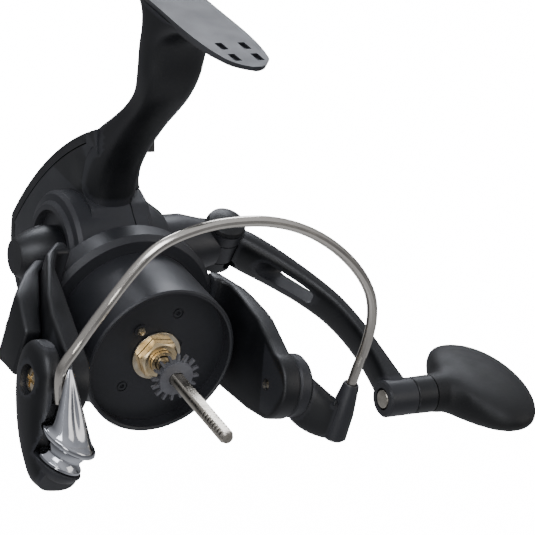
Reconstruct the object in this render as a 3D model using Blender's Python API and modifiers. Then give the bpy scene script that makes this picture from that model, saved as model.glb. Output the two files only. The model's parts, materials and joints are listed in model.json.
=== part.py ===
"""Spinning reel with its spool taken off, modelled piece by piece.

The frame is the reel's own: the origin is the middle of the foot's top face, +X is the
handle side, -Y is where the line leaves and +Z is up. Sizes below are in millimetres and
become metres when a mesh is made. Empties mark the axes that the moving pieces turn on.
"""

import math

import bmesh
import bpy
from mathutils import Matrix, Vector

MM = 0.001
GAP = 0.3                      # clearance between pieces that touch

# Main axes, from the centre of the hub's front rim on the shaft axis
FOOT_HEIGHT = 86.0             # shaft axis to the foot's top face
FOOT_LENGTH = 68.0
FOOT_WIDTH = 15.0
FOOT_THICK = 3.4
FOOT_CENTRE_Y = 15.1           # behind the hub's front rim
CRANK_Y = 40.0
CRANK_Z = 10.1
CRANK_REST = 20.0              # degrees the handle arm points below level
ROTOR_REST = 8.0               # degrees the rotor has turned from level

# Body
CASE_HALF = 8.0                # from the middle plane to either side of the case
WALL = 1.4
COVER_SPLIT = 3.0              # x of the face between housing and side cover
COVER_TOP = 27.4
DRUM_R = 16.2                  # round part of the case over the drive gear
REAR_COVER_THICK = 2.4
REAR_COVER_WIDTH = 16.0
FLANGE_R = 21.9
FLANGE_FRONT = 22.0
CASE_FRONT = 27.2
NECK_R = 14.5
NECK_FRONT = 9.8
LEFT_RIM = -14.4               # outer face of the ring round the cap
CAP_SEAT = -12.4
RIGHT_BOSS = 15.2

# Rotor
HUB_R = 19.8
HUB_WALL = 1.8
HUB_LIP = 1.1
HUB_RECESS = 3.8
FLOOR_THICK = 1.6
WEB_Y = 20.0
SKIRT_R = 24.3
SKIRT_WALL = 1.8
SKIRT_REAR = 26.2
ARM_INNER = (28.8, 24.7)       # left arm, right arm
ARM_OUTER = (34.0, 29.7)
PIVOT_Y = -10.0
PIVOT_R = 8.5

# Shaft, pinion and gears
SHAFT_R = 1.8
SHAFT_FLATS = 2.9
SHAFT_TIP = -35.6
SHAFT_REAR = 64.0
THREAD_LENGTH = 10.0
PINION_TEETH = 8
PINION_R = 3.97
PINION_BORE_R = SHAFT_R + GAP
PINION_TUBE_R = PINION_BORE_R + 0.9
PINION_FRONT = -0.4
PINION_REAR = 38.6
MESH_Y = 30.23                 # where drive gear and pinion meet
DRIVE_TEETH = 40
DRIVE_R = 15.1
DRIVE_FACE = 2.4               # width of the tooth ring
TOOTH_HEIGHT = 1.2
DISC_THICK = 1.8
DRIVE_FACE_X = 4.9             # root plane of the face teeth
AXLE_R = 4.4
JOURNAL_R = 3.6
BEARING_R = 6.5
BEARING_WIDTH = 2.8
SPUR_MODULE = 0.9
SPUR_TEETH = 12
OSCILLATION_TEETH = 24
SPUR_X = -6.7
SPUR_WIDTH = 2.2
CRANK_PIN_R = 5.0              # eccentric of the oscillation gear

# Nut, washer and click gear
NUT_R = 5.4
NUT_FRONT = 0.5
NUT_BACK = 2.8
WASHER_R = 6.5
CLICK_Y = -7.2
CLICK_R = 6.3
CLICK_TEETH = 16

# Handle
SHANK_R = 8.2
SHANK_END_R = 6.2
SHANK_START = 15.5
SHANK_END = 31.4
ROD_SIDE = 3.4
HINGE_X = 34.2
KNUCKLE_R = 5.4
TONGUE_HALF = 3.0
ARM_LENGTH = 57.2
ARM_END_X = 62.0
ARM_BOSS_R = 4.8
ARM_BOSS_HALF = 4.0
AXLE_KNOB_R = 1.9
COLLAR_END = 72.2
KNOB_CENTRE = 88.4
KNOB_HALF = (11.2, 19.7, 5.9)
CAP_END = -24.1
CAP_R = 4.9
CAP_ROOT_R = 7.7
CAP_ROOT = -16.4

# Bail, seen from the pivot axis
ROLLER_AT = (-34.6, -14.5, -11.2)
ROLLER_TILT = 15.0             # degrees its axis leans inwards
ROLLER_R = 5.4
ROLLER_WAIST = 4.2
ROLLER_LENGTH = 4.6
ROLLER_BORE = 2.0
FAIRING_R = 6.3
WIRE_R = 1.3
WIRE_PLANE = -9.0
SOCKET_X = 43.0
SOCKET_TOP = 6.0
SOCKET_LOW = -9.6


def arc(centre, radius, start, end, steps):
    """Points on a circle from one angle to another, in degrees."""
    points = []
    for i in range(steps + 1):
        angle = math.radians(start + (end - start) * i / steps)
        points.append((centre[0] + radius * math.cos(angle), centre[1] + radius * math.sin(angle)))
    return points


def circle_through(a, b, c):
    """Centre and radius of the circle through three points."""
    (ax, ay), (bx, by), (cx, cy) = a, b, c
    d = 2 * (ax * (by - cy) + bx * (cy - ay) + cx * (ay - by))
    a2, b2, c2 = ax * ax + ay * ay, bx * bx + by * by, cx * cx + cy * cy
    x = (a2 * (by - cy) + b2 * (cy - ay) + c2 * (ay - by)) / d
    y = (a2 * (cx - bx) + b2 * (ax - cx) + c2 * (bx - ax)) / d
    return (x, y), math.hypot(ax - x, ay - y)


def arc_between(circle, inset, start, end, steps):
    """The stretch of a circle, moved in by inset, that faces from start to end."""
    centre, radius = circle
    first = math.degrees(math.atan2(start[1] - centre[1], start[0] - centre[0]))
    last = math.degrees(math.atan2(end[1] - centre[1], end[0] - centre[0]))
    if last - first > 180:
        last -= 360
    if first - last > 180:
        first -= 360
    return arc(centre, radius - inset, first, last, steps)


def rounded(corners, steps=5):
    """An outline whose corners (u, v, radius) are rounded."""
    points = []
    count = len(corners)
    for i, (u, v, radius) in enumerate(corners):
        here = Vector((u, v))
        before = Vector(corners[i - 1][:2]) - here
        after = Vector(corners[(i + 1) % count][:2]) - here
        if radius <= 0:
            points.append((u, v))
            continue
        half = before.angle(after) / 2
        reach = min(radius / math.tan(half), 0.49 * before.length, 0.49 * after.length)
        size = reach * math.tan(half)
        middle = here + (before.normalized() + after.normalized()).normalized() * size / math.sin(half)
        first = here + before.normalized() * reach - middle
        turn = first.angle_signed(here + after.normalized() * reach - middle)
        for step in range(steps + 1):
            angle = -turn * step / steps
            points.append(tuple(middle + Matrix.Rotation(angle, 2) @ first))
    return points


def new_collection(name):
    made = bpy.data.collections.new(name)
    bpy.context.scene.collection.children.link(made)
    return made


def finish(name, colour, roughness, metallic=0.0):
    made = bpy.data.materials.new(name)
    made.use_nodes = True
    shader = made.node_tree.nodes["Principled BSDF"]
    shader.inputs["Base Color"].default_value = (*colour, 1.0)
    shader.inputs["Roughness"].default_value = roughness
    shader.inputs["Metallic"].default_value = metallic
    made.diffuse_color = (*colour, 1.0)
    return made


def axis_empty(name, parent, at=(0, 0, 0), turn=(0, 0, 0)):
    """An empty that marks a joint's axis or a datum; at in mm, turn in degrees."""
    made = bpy.data.objects.new(name, None)
    made.empty_display_size = 5 * MM
    PARTS.objects.link(made)
    made.parent = parent
    made.location = Vector(at) * MM
    made.rotation_euler = [math.radians(angle) for angle in turn]
    return made


def place(name, data, parent, look, at=(0, 0, 0), turn=(0, 0, 0)):
    """Puts a mesh or curve in the scene; without a look it is a cutter."""
    made = bpy.data.objects.new(name, data)
    (PARTS if look else CUTTERS).objects.link(made)
    made.parent = parent
    made.location = Vector(at) * MM
    made.rotation_euler = [math.radians(angle) for angle in turn]
    if look:
        data.materials.append(look)
    else:
        made.hide_render = True
        made.display_type = "WIRE"
    return made


def tidy(mesh, matrix=None):
    """Welds a mesh, turns its faces out and shades its round parts smooth."""
    work = bmesh.new()
    work.from_mesh(mesh)
    bmesh.ops.remove_doubles(work, verts=work.verts, dist=1e-6)
    bmesh.ops.recalc_face_normals(work, faces=work.faces)
    work.to_mesh(mesh)
    work.free()
    if matrix:
        mesh.transform(matrix)
    mesh.shade_smooth()
    mesh.set_sharp_from_angle(angle=math.radians(35))
    return mesh


ALONG = {
    "X": Matrix(((0, 0, 1, 0), (1, 0, 0, 0), (0, 1, 0, 0), (0, 0, 0, 1))),
    "Y": Matrix(((1, 0, 0, 0), (0, 0, -1, 0), (0, 1, 0, 0), (0, 0, 0, 1))),
    "Z": Matrix.Identity(4),
}
TURNED = {"X": (0, 90, 0), "Y": (-90, 0, 0), "Z": (0, 0, 0)}


def plate(name, outlines, low, high, along, parent, look=None, at=(0, 0, 0), turn=(0, 0, 0)):
    """A flat outline, with holes, as a plate from low to high along an axis.

    The outline is (y, z) along X, (x, z) along Y and (x, y) along Z.
    """
    if not isinstance(outlines[0][0], (tuple, list)):
        outlines = [outlines]
    curve = bpy.data.curves.new(name, "CURVE")
    curve.dimensions = "2D"
    curve.fill_mode = "BOTH"
    curve.extrude = (high - low) / 2 * MM
    for outline in outlines:
        spline = curve.splines.new("POLY")
        spline.points.add(len(outline) - 1)
        for point, (u, v) in zip(spline.points, outline):
            point.co = (u * MM, v * MM, 0, 1)
        spline.use_cyclic_u = True
    sketch = bpy.data.objects.new(name + "_sketch", curve)
    CUTTERS.objects.link(sketch)
    graph = bpy.context.evaluated_depsgraph_get()
    mesh = bpy.data.meshes.new_from_object(sketch.evaluated_get(graph))
    bpy.data.objects.remove(sketch)
    bpy.data.curves.remove(curve)
    middle = (low + high) / 2 * MM * (-1 if along == "Y" else 1)
    tidy(mesh, ALONG[along] @ Matrix.Translation((0, 0, middle)))
    mesh.name = name
    return place(name, mesh, parent, look, at, turn)


def turned(name, profile, along, parent, look=None, at=(0, 0, 0), sides=28, ring=False, turn=None):
    """A turned piece. The profile is (radius, height), its outer side from low to high."""
    mesh = bpy.data.meshes.new(name)
    points = [(r * MM, 0, h * MM) for r, h in reversed(profile)]
    edges = [(i, i + 1) for i in range(len(points) - 1)]
    if ring:
        edges.append((len(points) - 1, 0))
    mesh.from_pydata(points, edges, [])
    made = place(name, mesh, parent, look, at, turn or TURNED[along])
    screw = made.modifiers.new("turn", "SCREW")
    screw.steps = sides
    screw.render_steps = sides
    screw.use_merge_vertices = True
    screw.merge_threshold = 1e-5
    screw.use_smooth_shade = True
    return made


def rod(name, radius, low, high, along, parent, look=None, at=(0, 0, 0), sides=18, turn=None):
    profile = [(0, low), (radius, low), (radius, high), (0, high)]
    return turned(name, profile, along, parent, look, at, sides, turn=turn)


def tube(name, inner, outer, low, high, along, parent, look=None, at=(0, 0, 0), sides=24, turn=None):
    profile = [(outer, low), (outer, high), (inner, high), (inner, low)]
    return turned(name, profile, along, parent, look, at, sides, ring=True, turn=turn)


def block(name, low, high, parent, look=None, at=(0, 0, 0), turn=(0, 0, 0)):
    work = bmesh.new()
    bmesh.ops.create_cube(work, size=1.0)
    size = Vector(high) - Vector(low)
    centre = (Vector(high) + Vector(low)) / 2
    for vert in work.verts:
        vert.co = Vector(c * s + m for c, s, m in zip(vert.co, size, centre)) * MM
    mesh = bpy.data.meshes.new(name)
    work.to_mesh(mesh)
    work.free()
    return place(name, mesh, parent, look, at, turn)


def section(centre, u, v, half_u, half_v, count=16, power=2.4):
    """One superelliptic ring of a loft, in the plane of the unit vectors u and v."""
    ring = []
    for i in range(count):
        angle = 2 * math.pi * i / count
        c, s = math.cos(angle), math.sin(angle)
        a = math.copysign(abs(c) ** (2 / power), c) * half_u
        b = math.copysign(abs(s) ** (2 / power), s) * half_v
        ring.append(Vector(centre) + Vector(u) * a + Vector(v) * b)
    return ring


def loft(name, rings, parent, look=None, at=(0, 0, 0), turn=(0, 0, 0), closed_loop=False):
    """A skin over rings of equal count, with closed ends."""
    work = bmesh.new()
    rows = [[work.verts.new(point * MM) for point in ring] for ring in rings]
    count = len(rows[0])
    for first, second in zip(rows, rows[1:]):
        for i in range(count):
            j = (i + 1) % count
            work.faces.new((first[i], first[j], second[j], second[i]))
    for row, ring in ((rows[0], rings[0]), (rows[-1], rings[-1])):
        middle = work.verts.new(sum(ring, Vector()) / count * MM)
        for i in range(count):
            work.faces.new((row[i], row[(i + 1) % count], middle))
    mesh = bpy.data.meshes.new(name)
    work.to_mesh(mesh)
    work.free()
    tidy(mesh)
    return place(name, mesh, parent, look, at, turn)


def boolean(body, tool, operation):
    made = body.modifiers.new(tool.name, "BOOLEAN")
    made.operation = operation
    made.object = tool


def cut(body, *tools):
    for tool in tools:
        boolean(body, tool, "DIFFERENCE")


def join(body, *tools):
    for tool in tools:
        boolean(body, tool, "UNION")


def keep(body, tool):
    boolean(body, tool, "INTERSECT")


def round_edges(body, width, segments=2, angle=40):
    made = body.modifiers.new("rounded edges", "BEVEL")
    made.width = width * MM
    made.segments = segments
    made.limit_method = "ANGLE"
    made.angle_limit = math.radians(angle)
    made.use_clamp_overlap = True


def circle(radius, count, at=(0, 0)):
    return arc(at, radius, 0, 360 - 360 / count, count - 1)


def gear_outline(teeth, root, tip, share, at=(0, 0), phase=0.0):
    """A spur gear's outline; share is the part of the pitch that a tooth takes at its middle."""
    points = []
    pitch = 360 / teeth
    for i in range(teeth):
        middle = phase + i * pitch
        spread = ((root, 0.62), (tip, 0.30), (tip, -0.30), (root, -0.62))
        for radius, side in spread:
            angle = math.radians(middle - side * share * pitch)
            points.append((at[0] + radius * math.cos(angle), at[1] + radius * math.sin(angle)))
    return points


def screw_head(name, radius, height, depth, parent, at, turn, look, shank=0.0, shank_r=0.0, sides=14):
    """A cross-recessed pan-head screw along its own +Z, its head's seat at z = 0."""
    profile = [(0, -shank), (shank_r, -shank), (shank_r, 0.0)] if shank else [(0, 0.0)]
    profile += [(radius, 0.0), (radius * 0.86, height * 0.7), (0, height)]
    made = turned(name, profile, "Z", parent, look, at, sides, turn=turn)
    if depth:
        for i, angle in enumerate((0, 90)):
            long, wide = radius * 0.6, radius * 0.14
            slot = block(f"{name}_slot_{i + 1}", (-long, -wide, height - depth), (long, wide, height + 1),
                         made)
            slot.rotation_euler = (0, 0, math.radians(angle))
            cut(made, slot)
    return made


# --- Body ---------------------------------------------------------------------------------

SPINE_TOP = ((34.0, 47.7), (60.0, 27.9), (78.8, 2.0))
BOTTOM_BACK = ((78.8, 2.0), (73.0, -12.5), (54.0, -20.5))
SEAM_AT = (43.0, 41.9)
CASE_LOW = -20.5


def case_outline(low=CASE_LOW):
    """Side view of the case in (y, z): over its top to the seam, then inside the rear cover."""
    inset = REAR_COVER_THICK + GAP
    upper, lower = circle_through(*SPINE_TOP), circle_through(*BOTTOM_BACK)
    points = rounded([(CASE_FRONT, 20.0, 0), (34.0, 26.0, 4), (40.8, 28.0, 3), (40.6, 36.0, 4),
                      (36.4, 44.0, 3)])
    points += arc_between(upper, 0, (37.0, 46.0), SEAM_AT, 2)
    points += arc_between(upper, inset, SEAM_AT, SPINE_TOP[2], 10)
    points += arc_between(lower, inset, BOTTOM_BACK[0], BOTTOM_BACK[2], 6)[1:]
    return points + [(CASE_FRONT + 5, low + inset), (CASE_FRONT, low + inset + 4)]


def shoulder_outline():
    """Side view of the flank that carries the stem: front edge up, rear edge down."""
    front = [(34.0, 20.0, 0), (34.4, 33.0, 8), (32.4, 38.6, 8), (29.8, 43.0, 2)]
    rear = [(35.2, 46.4, 2), (42.4, 41.6, 0), (46.0, 34.0, 0), (46.0, 20.0, 0)]
    return rounded(front + rear)


def cavity_outline():
    inset = REAR_COVER_THICK + GAP + WALL
    upper, lower = circle_through(*SPINE_TOP), circle_through(*BOTTOM_BACK)
    points = arc_between(upper, inset, (62.0, 26.0), SPINE_TOP[2], 7)
    points += arc_between(lower, inset, BOTTOM_BACK[0], BOTTOM_BACK[2], 6)[1:]
    low = points[-1][1]
    return [(CASE_FRONT + 1.7, 18.0), (34.0, points[0][1])] + points + [(CASE_FRONT + 1.7, low)]


def case_solid(name, datum, look):
    """Case without its hollow: the flat spine and the stepped drum round the crank axis."""
    made = plate(name, case_outline(), -CASE_HALF, CASE_HALF, "X", datum, look)
    round_edges(made, 2.0, 2)
    profile = [
        (0, CAP_SEAT), (10.8, CAP_SEAT), (11.4, LEFT_RIM), (12.8, LEFT_RIM), (13.7, -13.4), (15.4, -13.0),
        (DRUM_R, -12.0), (DRUM_R, 6.9), (14.3, 8.5), (12.9, 9.2), (12.5, 12.0), (10.2, RIGHT_BOSS), (0,
                RIGHT_BOSS),
    ]
    join(made, turned(name + "_drum", profile, "X", datum, None, (0, CRANK_Y, CRANK_Z), 28))
    return made


def rear_cover_room(name, datum):
    """All that lies outside the inner face of the rear cover, from the seam round to the base."""
    upper, lower = circle_through(*SPINE_TOP), circle_through(*BOTTOM_BACK)
    inset = REAR_COVER_THICK + GAP
    before_seam = (SEAM_AT[0] - 0.25, SEAM_AT[1] + 0.2)
    strips = []
    for depth in (-8.0, inset):
        strip = arc_between(upper, depth, before_seam, SPINE_TOP[2], 9)
        strips.append(strip + arc_between(lower, depth, BOTTOM_BACK[0], BOTTOM_BACK[2], 6)[1:])
    return plate(name, strips[0] + strips[1][::-1], -20, 20, "X", datum)


def case_hollow(name, datum):
    made = plate(name, cavity_outline(), -7.1, CASE_HALF - WALL, "X", datum)
    join(made, rod(name + "_drum", DRUM_R - 0.75, -7.4, 7.0, "X", datum, None, (0, CRANK_Y, CRANK_Z), 28))
    return made


def stem_and_foot(housing, datum):
    """The stem's loft and the foot's plate, joined to the housing."""
    across, along, up = Vector((1, 0, 0)), Vector((0, 1, 0)), Vector((0, 0, 1))
    stations = (  # z, centre x, centre y, half width, half length
        (34.0, -1.2, 42.4, 6.6, 8.2),
        (40.0, -1.2, 39.2, 6.6, 7.0),
        (46.0, -0.9, 34.2, 6.5, 5.7),
        (52.0, -0.5, 28.8, 6.4, 4.7),
        (57.0, -0.1, 24.8, 6.4, 4.3),
        (62.0, 0.1, 21.7, 6.8, 4.3),
        (68.0, 0.1, 20.2, 7.7, 4.7),
        (74.0, 0.1, 20.2, 8.1, 5.2),
        (78.5, 0.0, 19.6, 8.0, 6.6),
        (82.0, 0.0, 18.6, 7.6, 11.5),
        (FOOT_HEIGHT - 1.6, 0.0, 17.4, 7.2, 19.0),
    )
    rings = [section((x, y, z), across, along, wide, long, 18) for z, x, y, wide, long in stations]
    join(housing, loft("stem_shape", rings, datum))
    half = FOOT_LENGTH / 2
    rings = []
    for share in (-1.0, -0.96, -0.85, -0.5, 0.0, 0.5, 0.85, 0.96, 1.0):
        thick = FOOT_THICK * (1.0 - 0.62 * abs(share) ** 2.2)
        wide = FOOT_WIDTH / 2 * math.sqrt(max(0.02, 1 - abs(share) ** 5))
        centre = (0, FOOT_CENTRE_Y + share * half, FOOT_HEIGHT)
        ring = [Vector(centre) + across * wide * x for x in (1, 0, -1)]
        for x in (-0.86, -0.45, 0.45, 0.86):
            ring.append(Vector(centre) + across * wide * x - up * thick * (1 - 0.25 * abs(x)))
        rings.append(ring)
    join(housing, loft("foot_shape", rings, datum))
    for side in (-1, 1):
        for row in range(2):
            for column in (-1, 1):
                y = FOOT_CENTRE_Y + side * (half - 5.5 - 6.4 * row)
                x = column * 2.9
                pocket = block(
                    f"foot_pocket_{side}_{row}_{column}", (x - 0.9, y - 1.9, FOOT_HEIGHT - 0.8),
                    (x + 0.9, y + 1.9, FOOT_HEIGHT + 1), datum,
                )
                cut(housing, pocket)


def body_housing(datum):
    made = case_solid("body_housing", datum, BLACK)
    cut(made, block("cover_room", (COVER_SPLIT, -50, -60), (40, 150, COVER_TOP + GAP), datum))
    flank = plate("shoulder", shoulder_outline(), -CASE_HALF + 0.1, 4.8, "X", datum)
    round_edges(flank, 1.8, 2)
    cut(flank, block("shoulder_room", (COVER_SPLIT - 0.01, 0, 0), (40, 90, COVER_TOP + GAP + 0.01), datum))
    join(made, flank)
    stem_and_foot(made, datum)
    front = CASE_FRONT + 1.6
    profile = [
        (0, NECK_FRONT), (NECK_R - 0.5, NECK_FRONT), (NECK_R, NECK_FRONT + 0.5), (NECK_R, FLANGE_FRONT),
        (FLANGE_R - 0.6, FLANGE_FRONT), (FLANGE_R, FLANGE_FRONT + 0.6), (FLANGE_R, front), (0, front),
    ]
    join(made, turned("front_flange", profile, "Y", datum, sides=28))
    cut(made, rear_cover_room("rear_cover_room", datum))
    cut(made, case_hollow("housing_hollow", datum))
    # Room for the drive gear through the flange, open towards the side cover
    gear_room = block("gear_room", (-7.0, FLANGE_FRONT + 1.6, -11), (24, front + 3, 24), datum)
    keep(gear_room, rod("gear_room_round", FLANGE_R - 1.5, FLANGE_FRONT, front + 9, "Y", datum, sides=28))
    cut(made, gear_room)
    cut(made, rod("neck_bore", 12.3, NECK_FRONT - 1, FLANGE_FRONT - 1.5, "Y", datum, sides=28))
    cut(made, rod("pinion_bore", 7.6, NECK_FRONT - 2, FLANGE_FRONT + 3, "Y", datum))
    at = (0, CRANK_Y, CRANK_Z)
    cut(made, rod("left_bearing_bore", BEARING_R + 0.15, -11.0, -5, "X", datum, None, at, 24))
    cut(made, rod("left_axle_bore", AXLE_R + 0.4, -30, -10, "X", datum, None, at, 20))
    # Post that carries the oscillation gear, and the support of the pinion's rear
    post_at = (0, OSCILLATION_Y, 0)
    join(made, rod("gear_post_foot", 3.0, -7.6, SPUR_X - 0.2, "X", datum, None, post_at, 18))
    join(made, rod("gear_post", 1.5, -7.6, SPUR_X + 1.9, "X", datum, None, post_at, 14))
    low = PINION_REAR - 3.0
    join(made, block("pinion_bridge", (-7.6, low, -6.6), (COVER_SPLIT - 0.2, low + 2.8, 1.6), datum))
    join(made, block("bridge_foot", (-4.0, low + 0.1, -19.0), (1.0, low + 2.7, -6.0), datum))
    cut(made, rod("pinion_rear_bore", 4.1, low - 2, low + 5, "Y", datum))
    cut(made, rod("lever_hole", 2.0, -30, -10, "Z", datum, None, (0, LEVER_Y, 0)))
    return made


def side_cover(datum):
    made = case_solid("side_cover", datum, BLACK)
    keep(made, block("cover_part", (COVER_SPLIT + GAP, -50, -60), (40, 150, COVER_TOP), datum))
    cut(made, case_hollow("cover_hollow", datum))
    cut(made, rod("flange_clear", FLANGE_R + GAP, 0, CASE_FRONT + 1.6 + GAP, "Y", datum, sides=32))
    at = (0, CRANK_Y, CRANK_Z)
    cut(made, rod("right_bearing_bore", BEARING_R + 0.15, 5, 12.5, "X", datum, None, at, 24))
    cut(made, rod("right_axle_bore", AXLE_R + 0.4, 10, 30, "X", datum, None, at, 20))
    for i, (y, z) in enumerate(COVER_SCREWS):
        spot = (0, y, z)
        cut(made, rod(f"cover_screw_seat_{i}", 2.3, CASE_HALF - 0.7, 30, "X", datum, None, spot, 18))
        cut(made, rod(f"cover_screw_hole_{i}", 1.2, 0, 30, "X", datum, None, spot, 14))
        screw_head(
            f"side_cover_screw_{i + 1}", 1.9, 1.0, 0.7, datum, (CASE_HALF - 0.55, y, z), (0, 90, 0), NICKEL,
            3.0, 0.9, 12,
        )
    return made


def rear_cover(datum):
    """The strip that wraps the spine from the seam on its top to the base."""
    upper = circle_through(*SPINE_TOP)
    lower = circle_through(*BOTTOM_BACK)
    outer = arc_between(upper, 0, SEAM_AT, SPINE_TOP[2], 12) + arc_between(lower, 0, *BOTTOM_BACK[::2], 8)[1:]
    inner = arc_between(upper, REAR_COVER_THICK, SEAM_AT, SPINE_TOP[2], 12)
    inner += arc_between(lower, REAR_COVER_THICK, *BOTTOM_BACK[::2], 8)[1:]
    half = REAR_COVER_WIDTH / 2
    made = plate("rear_cover", outer + inner[::-1], -half, half, "X", datum, BLACK)
    round_edges(made, 0.9, 2, 60)
    return made


def anti_reverse_lever(datum):
    axis = axis_empty("lever_axis", datum, (0, LEVER_Y, CASE_LOW))
    outline = rounded([(-3.2, -3.5, 3.0), (3.2, -3.5, 3.0), (2.2, 13.0, 2.0), (-2.2, 13.0, 2.0)], 4)
    made = plate("anti_reverse_lever", outline, -2.2 - 0.35, -0.35, "Z", axis, BLACK)
    join(made, rod("lever_shaft", 1.7, -1.0, 5.5, "Z", axis, sides=16))
    join(made, block("lever_thumb", (-1.6, 9.6, -4.0), (1.6, 12.0, -1.0), axis))
    return made


# --- Drive train --------------------------------------------------------------------------

def face_gear(name, parent, look):
    """Disc with radial teeth on its -X face: rows of points round the axis, root and tip by turns."""
    inner, outer = DRIVE_R - DRIVE_FACE, DRIVE_R
    root, tip, back = DRIVE_FACE_X, DRIVE_FACE_X - TOOTH_HEIGHT, DRIVE_FACE_X + DISC_THICK
    rows = [[], [], [], []]
    pitch = 2 * math.pi / DRIVE_TEETH
    start = math.atan2(-CRANK_Z, MESH_Y - CRANK_Y) - math.radians(CRANK_REST)
    for tooth in range(DRIVE_TEETH):
        for share, x in ((0.22, root), (0.40, tip), (0.60, tip), (0.78, root)):
            angle = start + (tooth + share) * pitch
            spot = Vector((0, math.cos(angle), math.sin(angle)))
            for row, radius, depth in ((0, inner, x), (1, outer, x), (2, outer, back), (3, inner, back)):
                rows[row].append(spot * radius + Vector((depth, 0, 0)))
    work = bmesh.new()
    made = [[work.verts.new(point * MM) for point in row] for row in rows]
    count = len(made[0])
    for first, second in zip(made, made[1:] + made[:1]):
        for i in range(count):
            j = (i + 1) % count
            work.faces.new((first[i], first[j], second[j], second[i]))
    mesh = bpy.data.meshes.new(name)
    work.to_mesh(mesh)
    work.free()
    tidy(mesh)
    return place(name, mesh, parent, look)


def drive_train(datum, crank):
    drive = face_gear("drive_gear", crank, ZINC)
    root, back = DRIVE_FACE_X + 0.2, DRIVE_FACE_X + DISC_THICK - 0.2
    profile = [
        (JOURNAL_R, -10.8), (JOURNAL_R, -7.7), (AXLE_R, -7.7), (AXLE_R, root), (DRIVE_R - 1.8, root),
        (DRIVE_R - 1.8, back), (5.4, back), (5.4, 9.2), (JOURNAL_R, 9.2), (JOURNAL_R, 12.0),
        (2.75, 12.0), (2.75, -10.8),
    ]
    join(drive, turned("drive_axle", profile, "X", crank, sides=24, ring=True))
    root_r = SPUR_MODULE * (SPUR_TEETH / 2 - 1.15)
    tip_r = SPUR_MODULE * (SPUR_TEETH / 2 + 0.9)
    aim = math.degrees(math.atan2(-CRANK_Z, OSCILLATION_Y - CRANK_Y)) - CRANK_REST
    outline = gear_outline(SPUR_TEETH, root_r, tip_r, 0.42, phase=aim)
    spur = plate("drive_spur", outline, SPUR_X, SPUR_X + SPUR_WIDTH, "X", crank)
    cut(spur, rod("drive_spur_bore", AXLE_R - 0.5, -20, 20, "X", crank))
    join(drive, spur)
    oscillation = axis_empty("oscillation_axis", datum, (0, OSCILLATION_Y, 0))
    root_r = SPUR_MODULE * (OSCILLATION_TEETH / 2 - 1.15)
    tip_r = SPUR_MODULE * (OSCILLATION_TEETH / 2 + 0.9)
    aim = math.degrees(math.atan2(CRANK_Z, CRANK_Y - OSCILLATION_Y))
    outline = gear_outline(OSCILLATION_TEETH, root_r, tip_r, 0.42, phase=aim + 180 / OSCILLATION_TEETH)
    bore = circle(1.8, 16)
    gear = plate(
        "oscillation_gear", [outline, bore], SPUR_X, SPUR_X + SPUR_WIDTH, "X", oscillation, WHITE_PLASTIC
    )
    angle = math.radians(PIN_ANGLE)
    pin_at = (0, CRANK_PIN_R * math.cos(angle), CRANK_PIN_R * math.sin(angle))
    join(gear, rod("eccentric_pin", 1.6, SPUR_X + 1, SLIDER_X - GAP, "X", oscillation, None, pin_at, 16))
    for side, name in ((-1, "left_crank_bearing"), (1, "right_crank_bearing")):
        low = -10.8 if side < 0 else 12.3 - BEARING_WIDTH
        tube(
            name, JOURNAL_R + 0.1, BEARING_R, low, low + BEARING_WIDTH, "X", datum, STEEL,
            (0, CRANK_Y, CRANK_Z), 28,
        )


def pinion_gear(rotor):
    """Tube with a helical toothed end; its teeth meet the drive gear at MESH_Y."""
    rings = []
    for y in (MESH_Y - 3.4, MESH_Y - 1.7, MESH_Y, MESH_Y + 1.7, MESH_Y + 3.4):
        twist = math.degrees((y - MESH_Y) / PINION_R)
        outline = gear_outline(PINION_TEETH, PINION_R - 0.75, PINION_R + 0.35, 0.34)
        turn = math.radians(twist + ROTOR_REST)
        ring = []
        for u, v in outline:
            # u points to the drive gear; turning about +Y takes +X towards -Z
            x = u * math.cos(turn) - v * math.sin(turn)
            z = u * math.sin(turn) + v * math.cos(turn)
            ring.append(Vector((x, y, z)))
        rings.append(ring)
    made = loft("pinion_gear", rings, rotor, BRASS)
    join(made, rod("pinion_tube", PINION_TUBE_R, PINION_FRONT, PINION_REAR, "Y", rotor, sides=24))
    cut(made, rod("shaft_bore", PINION_BORE_R, PINION_FRONT - 2, PINION_REAR + 2, "Y", rotor, sides=20))
    return made


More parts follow.
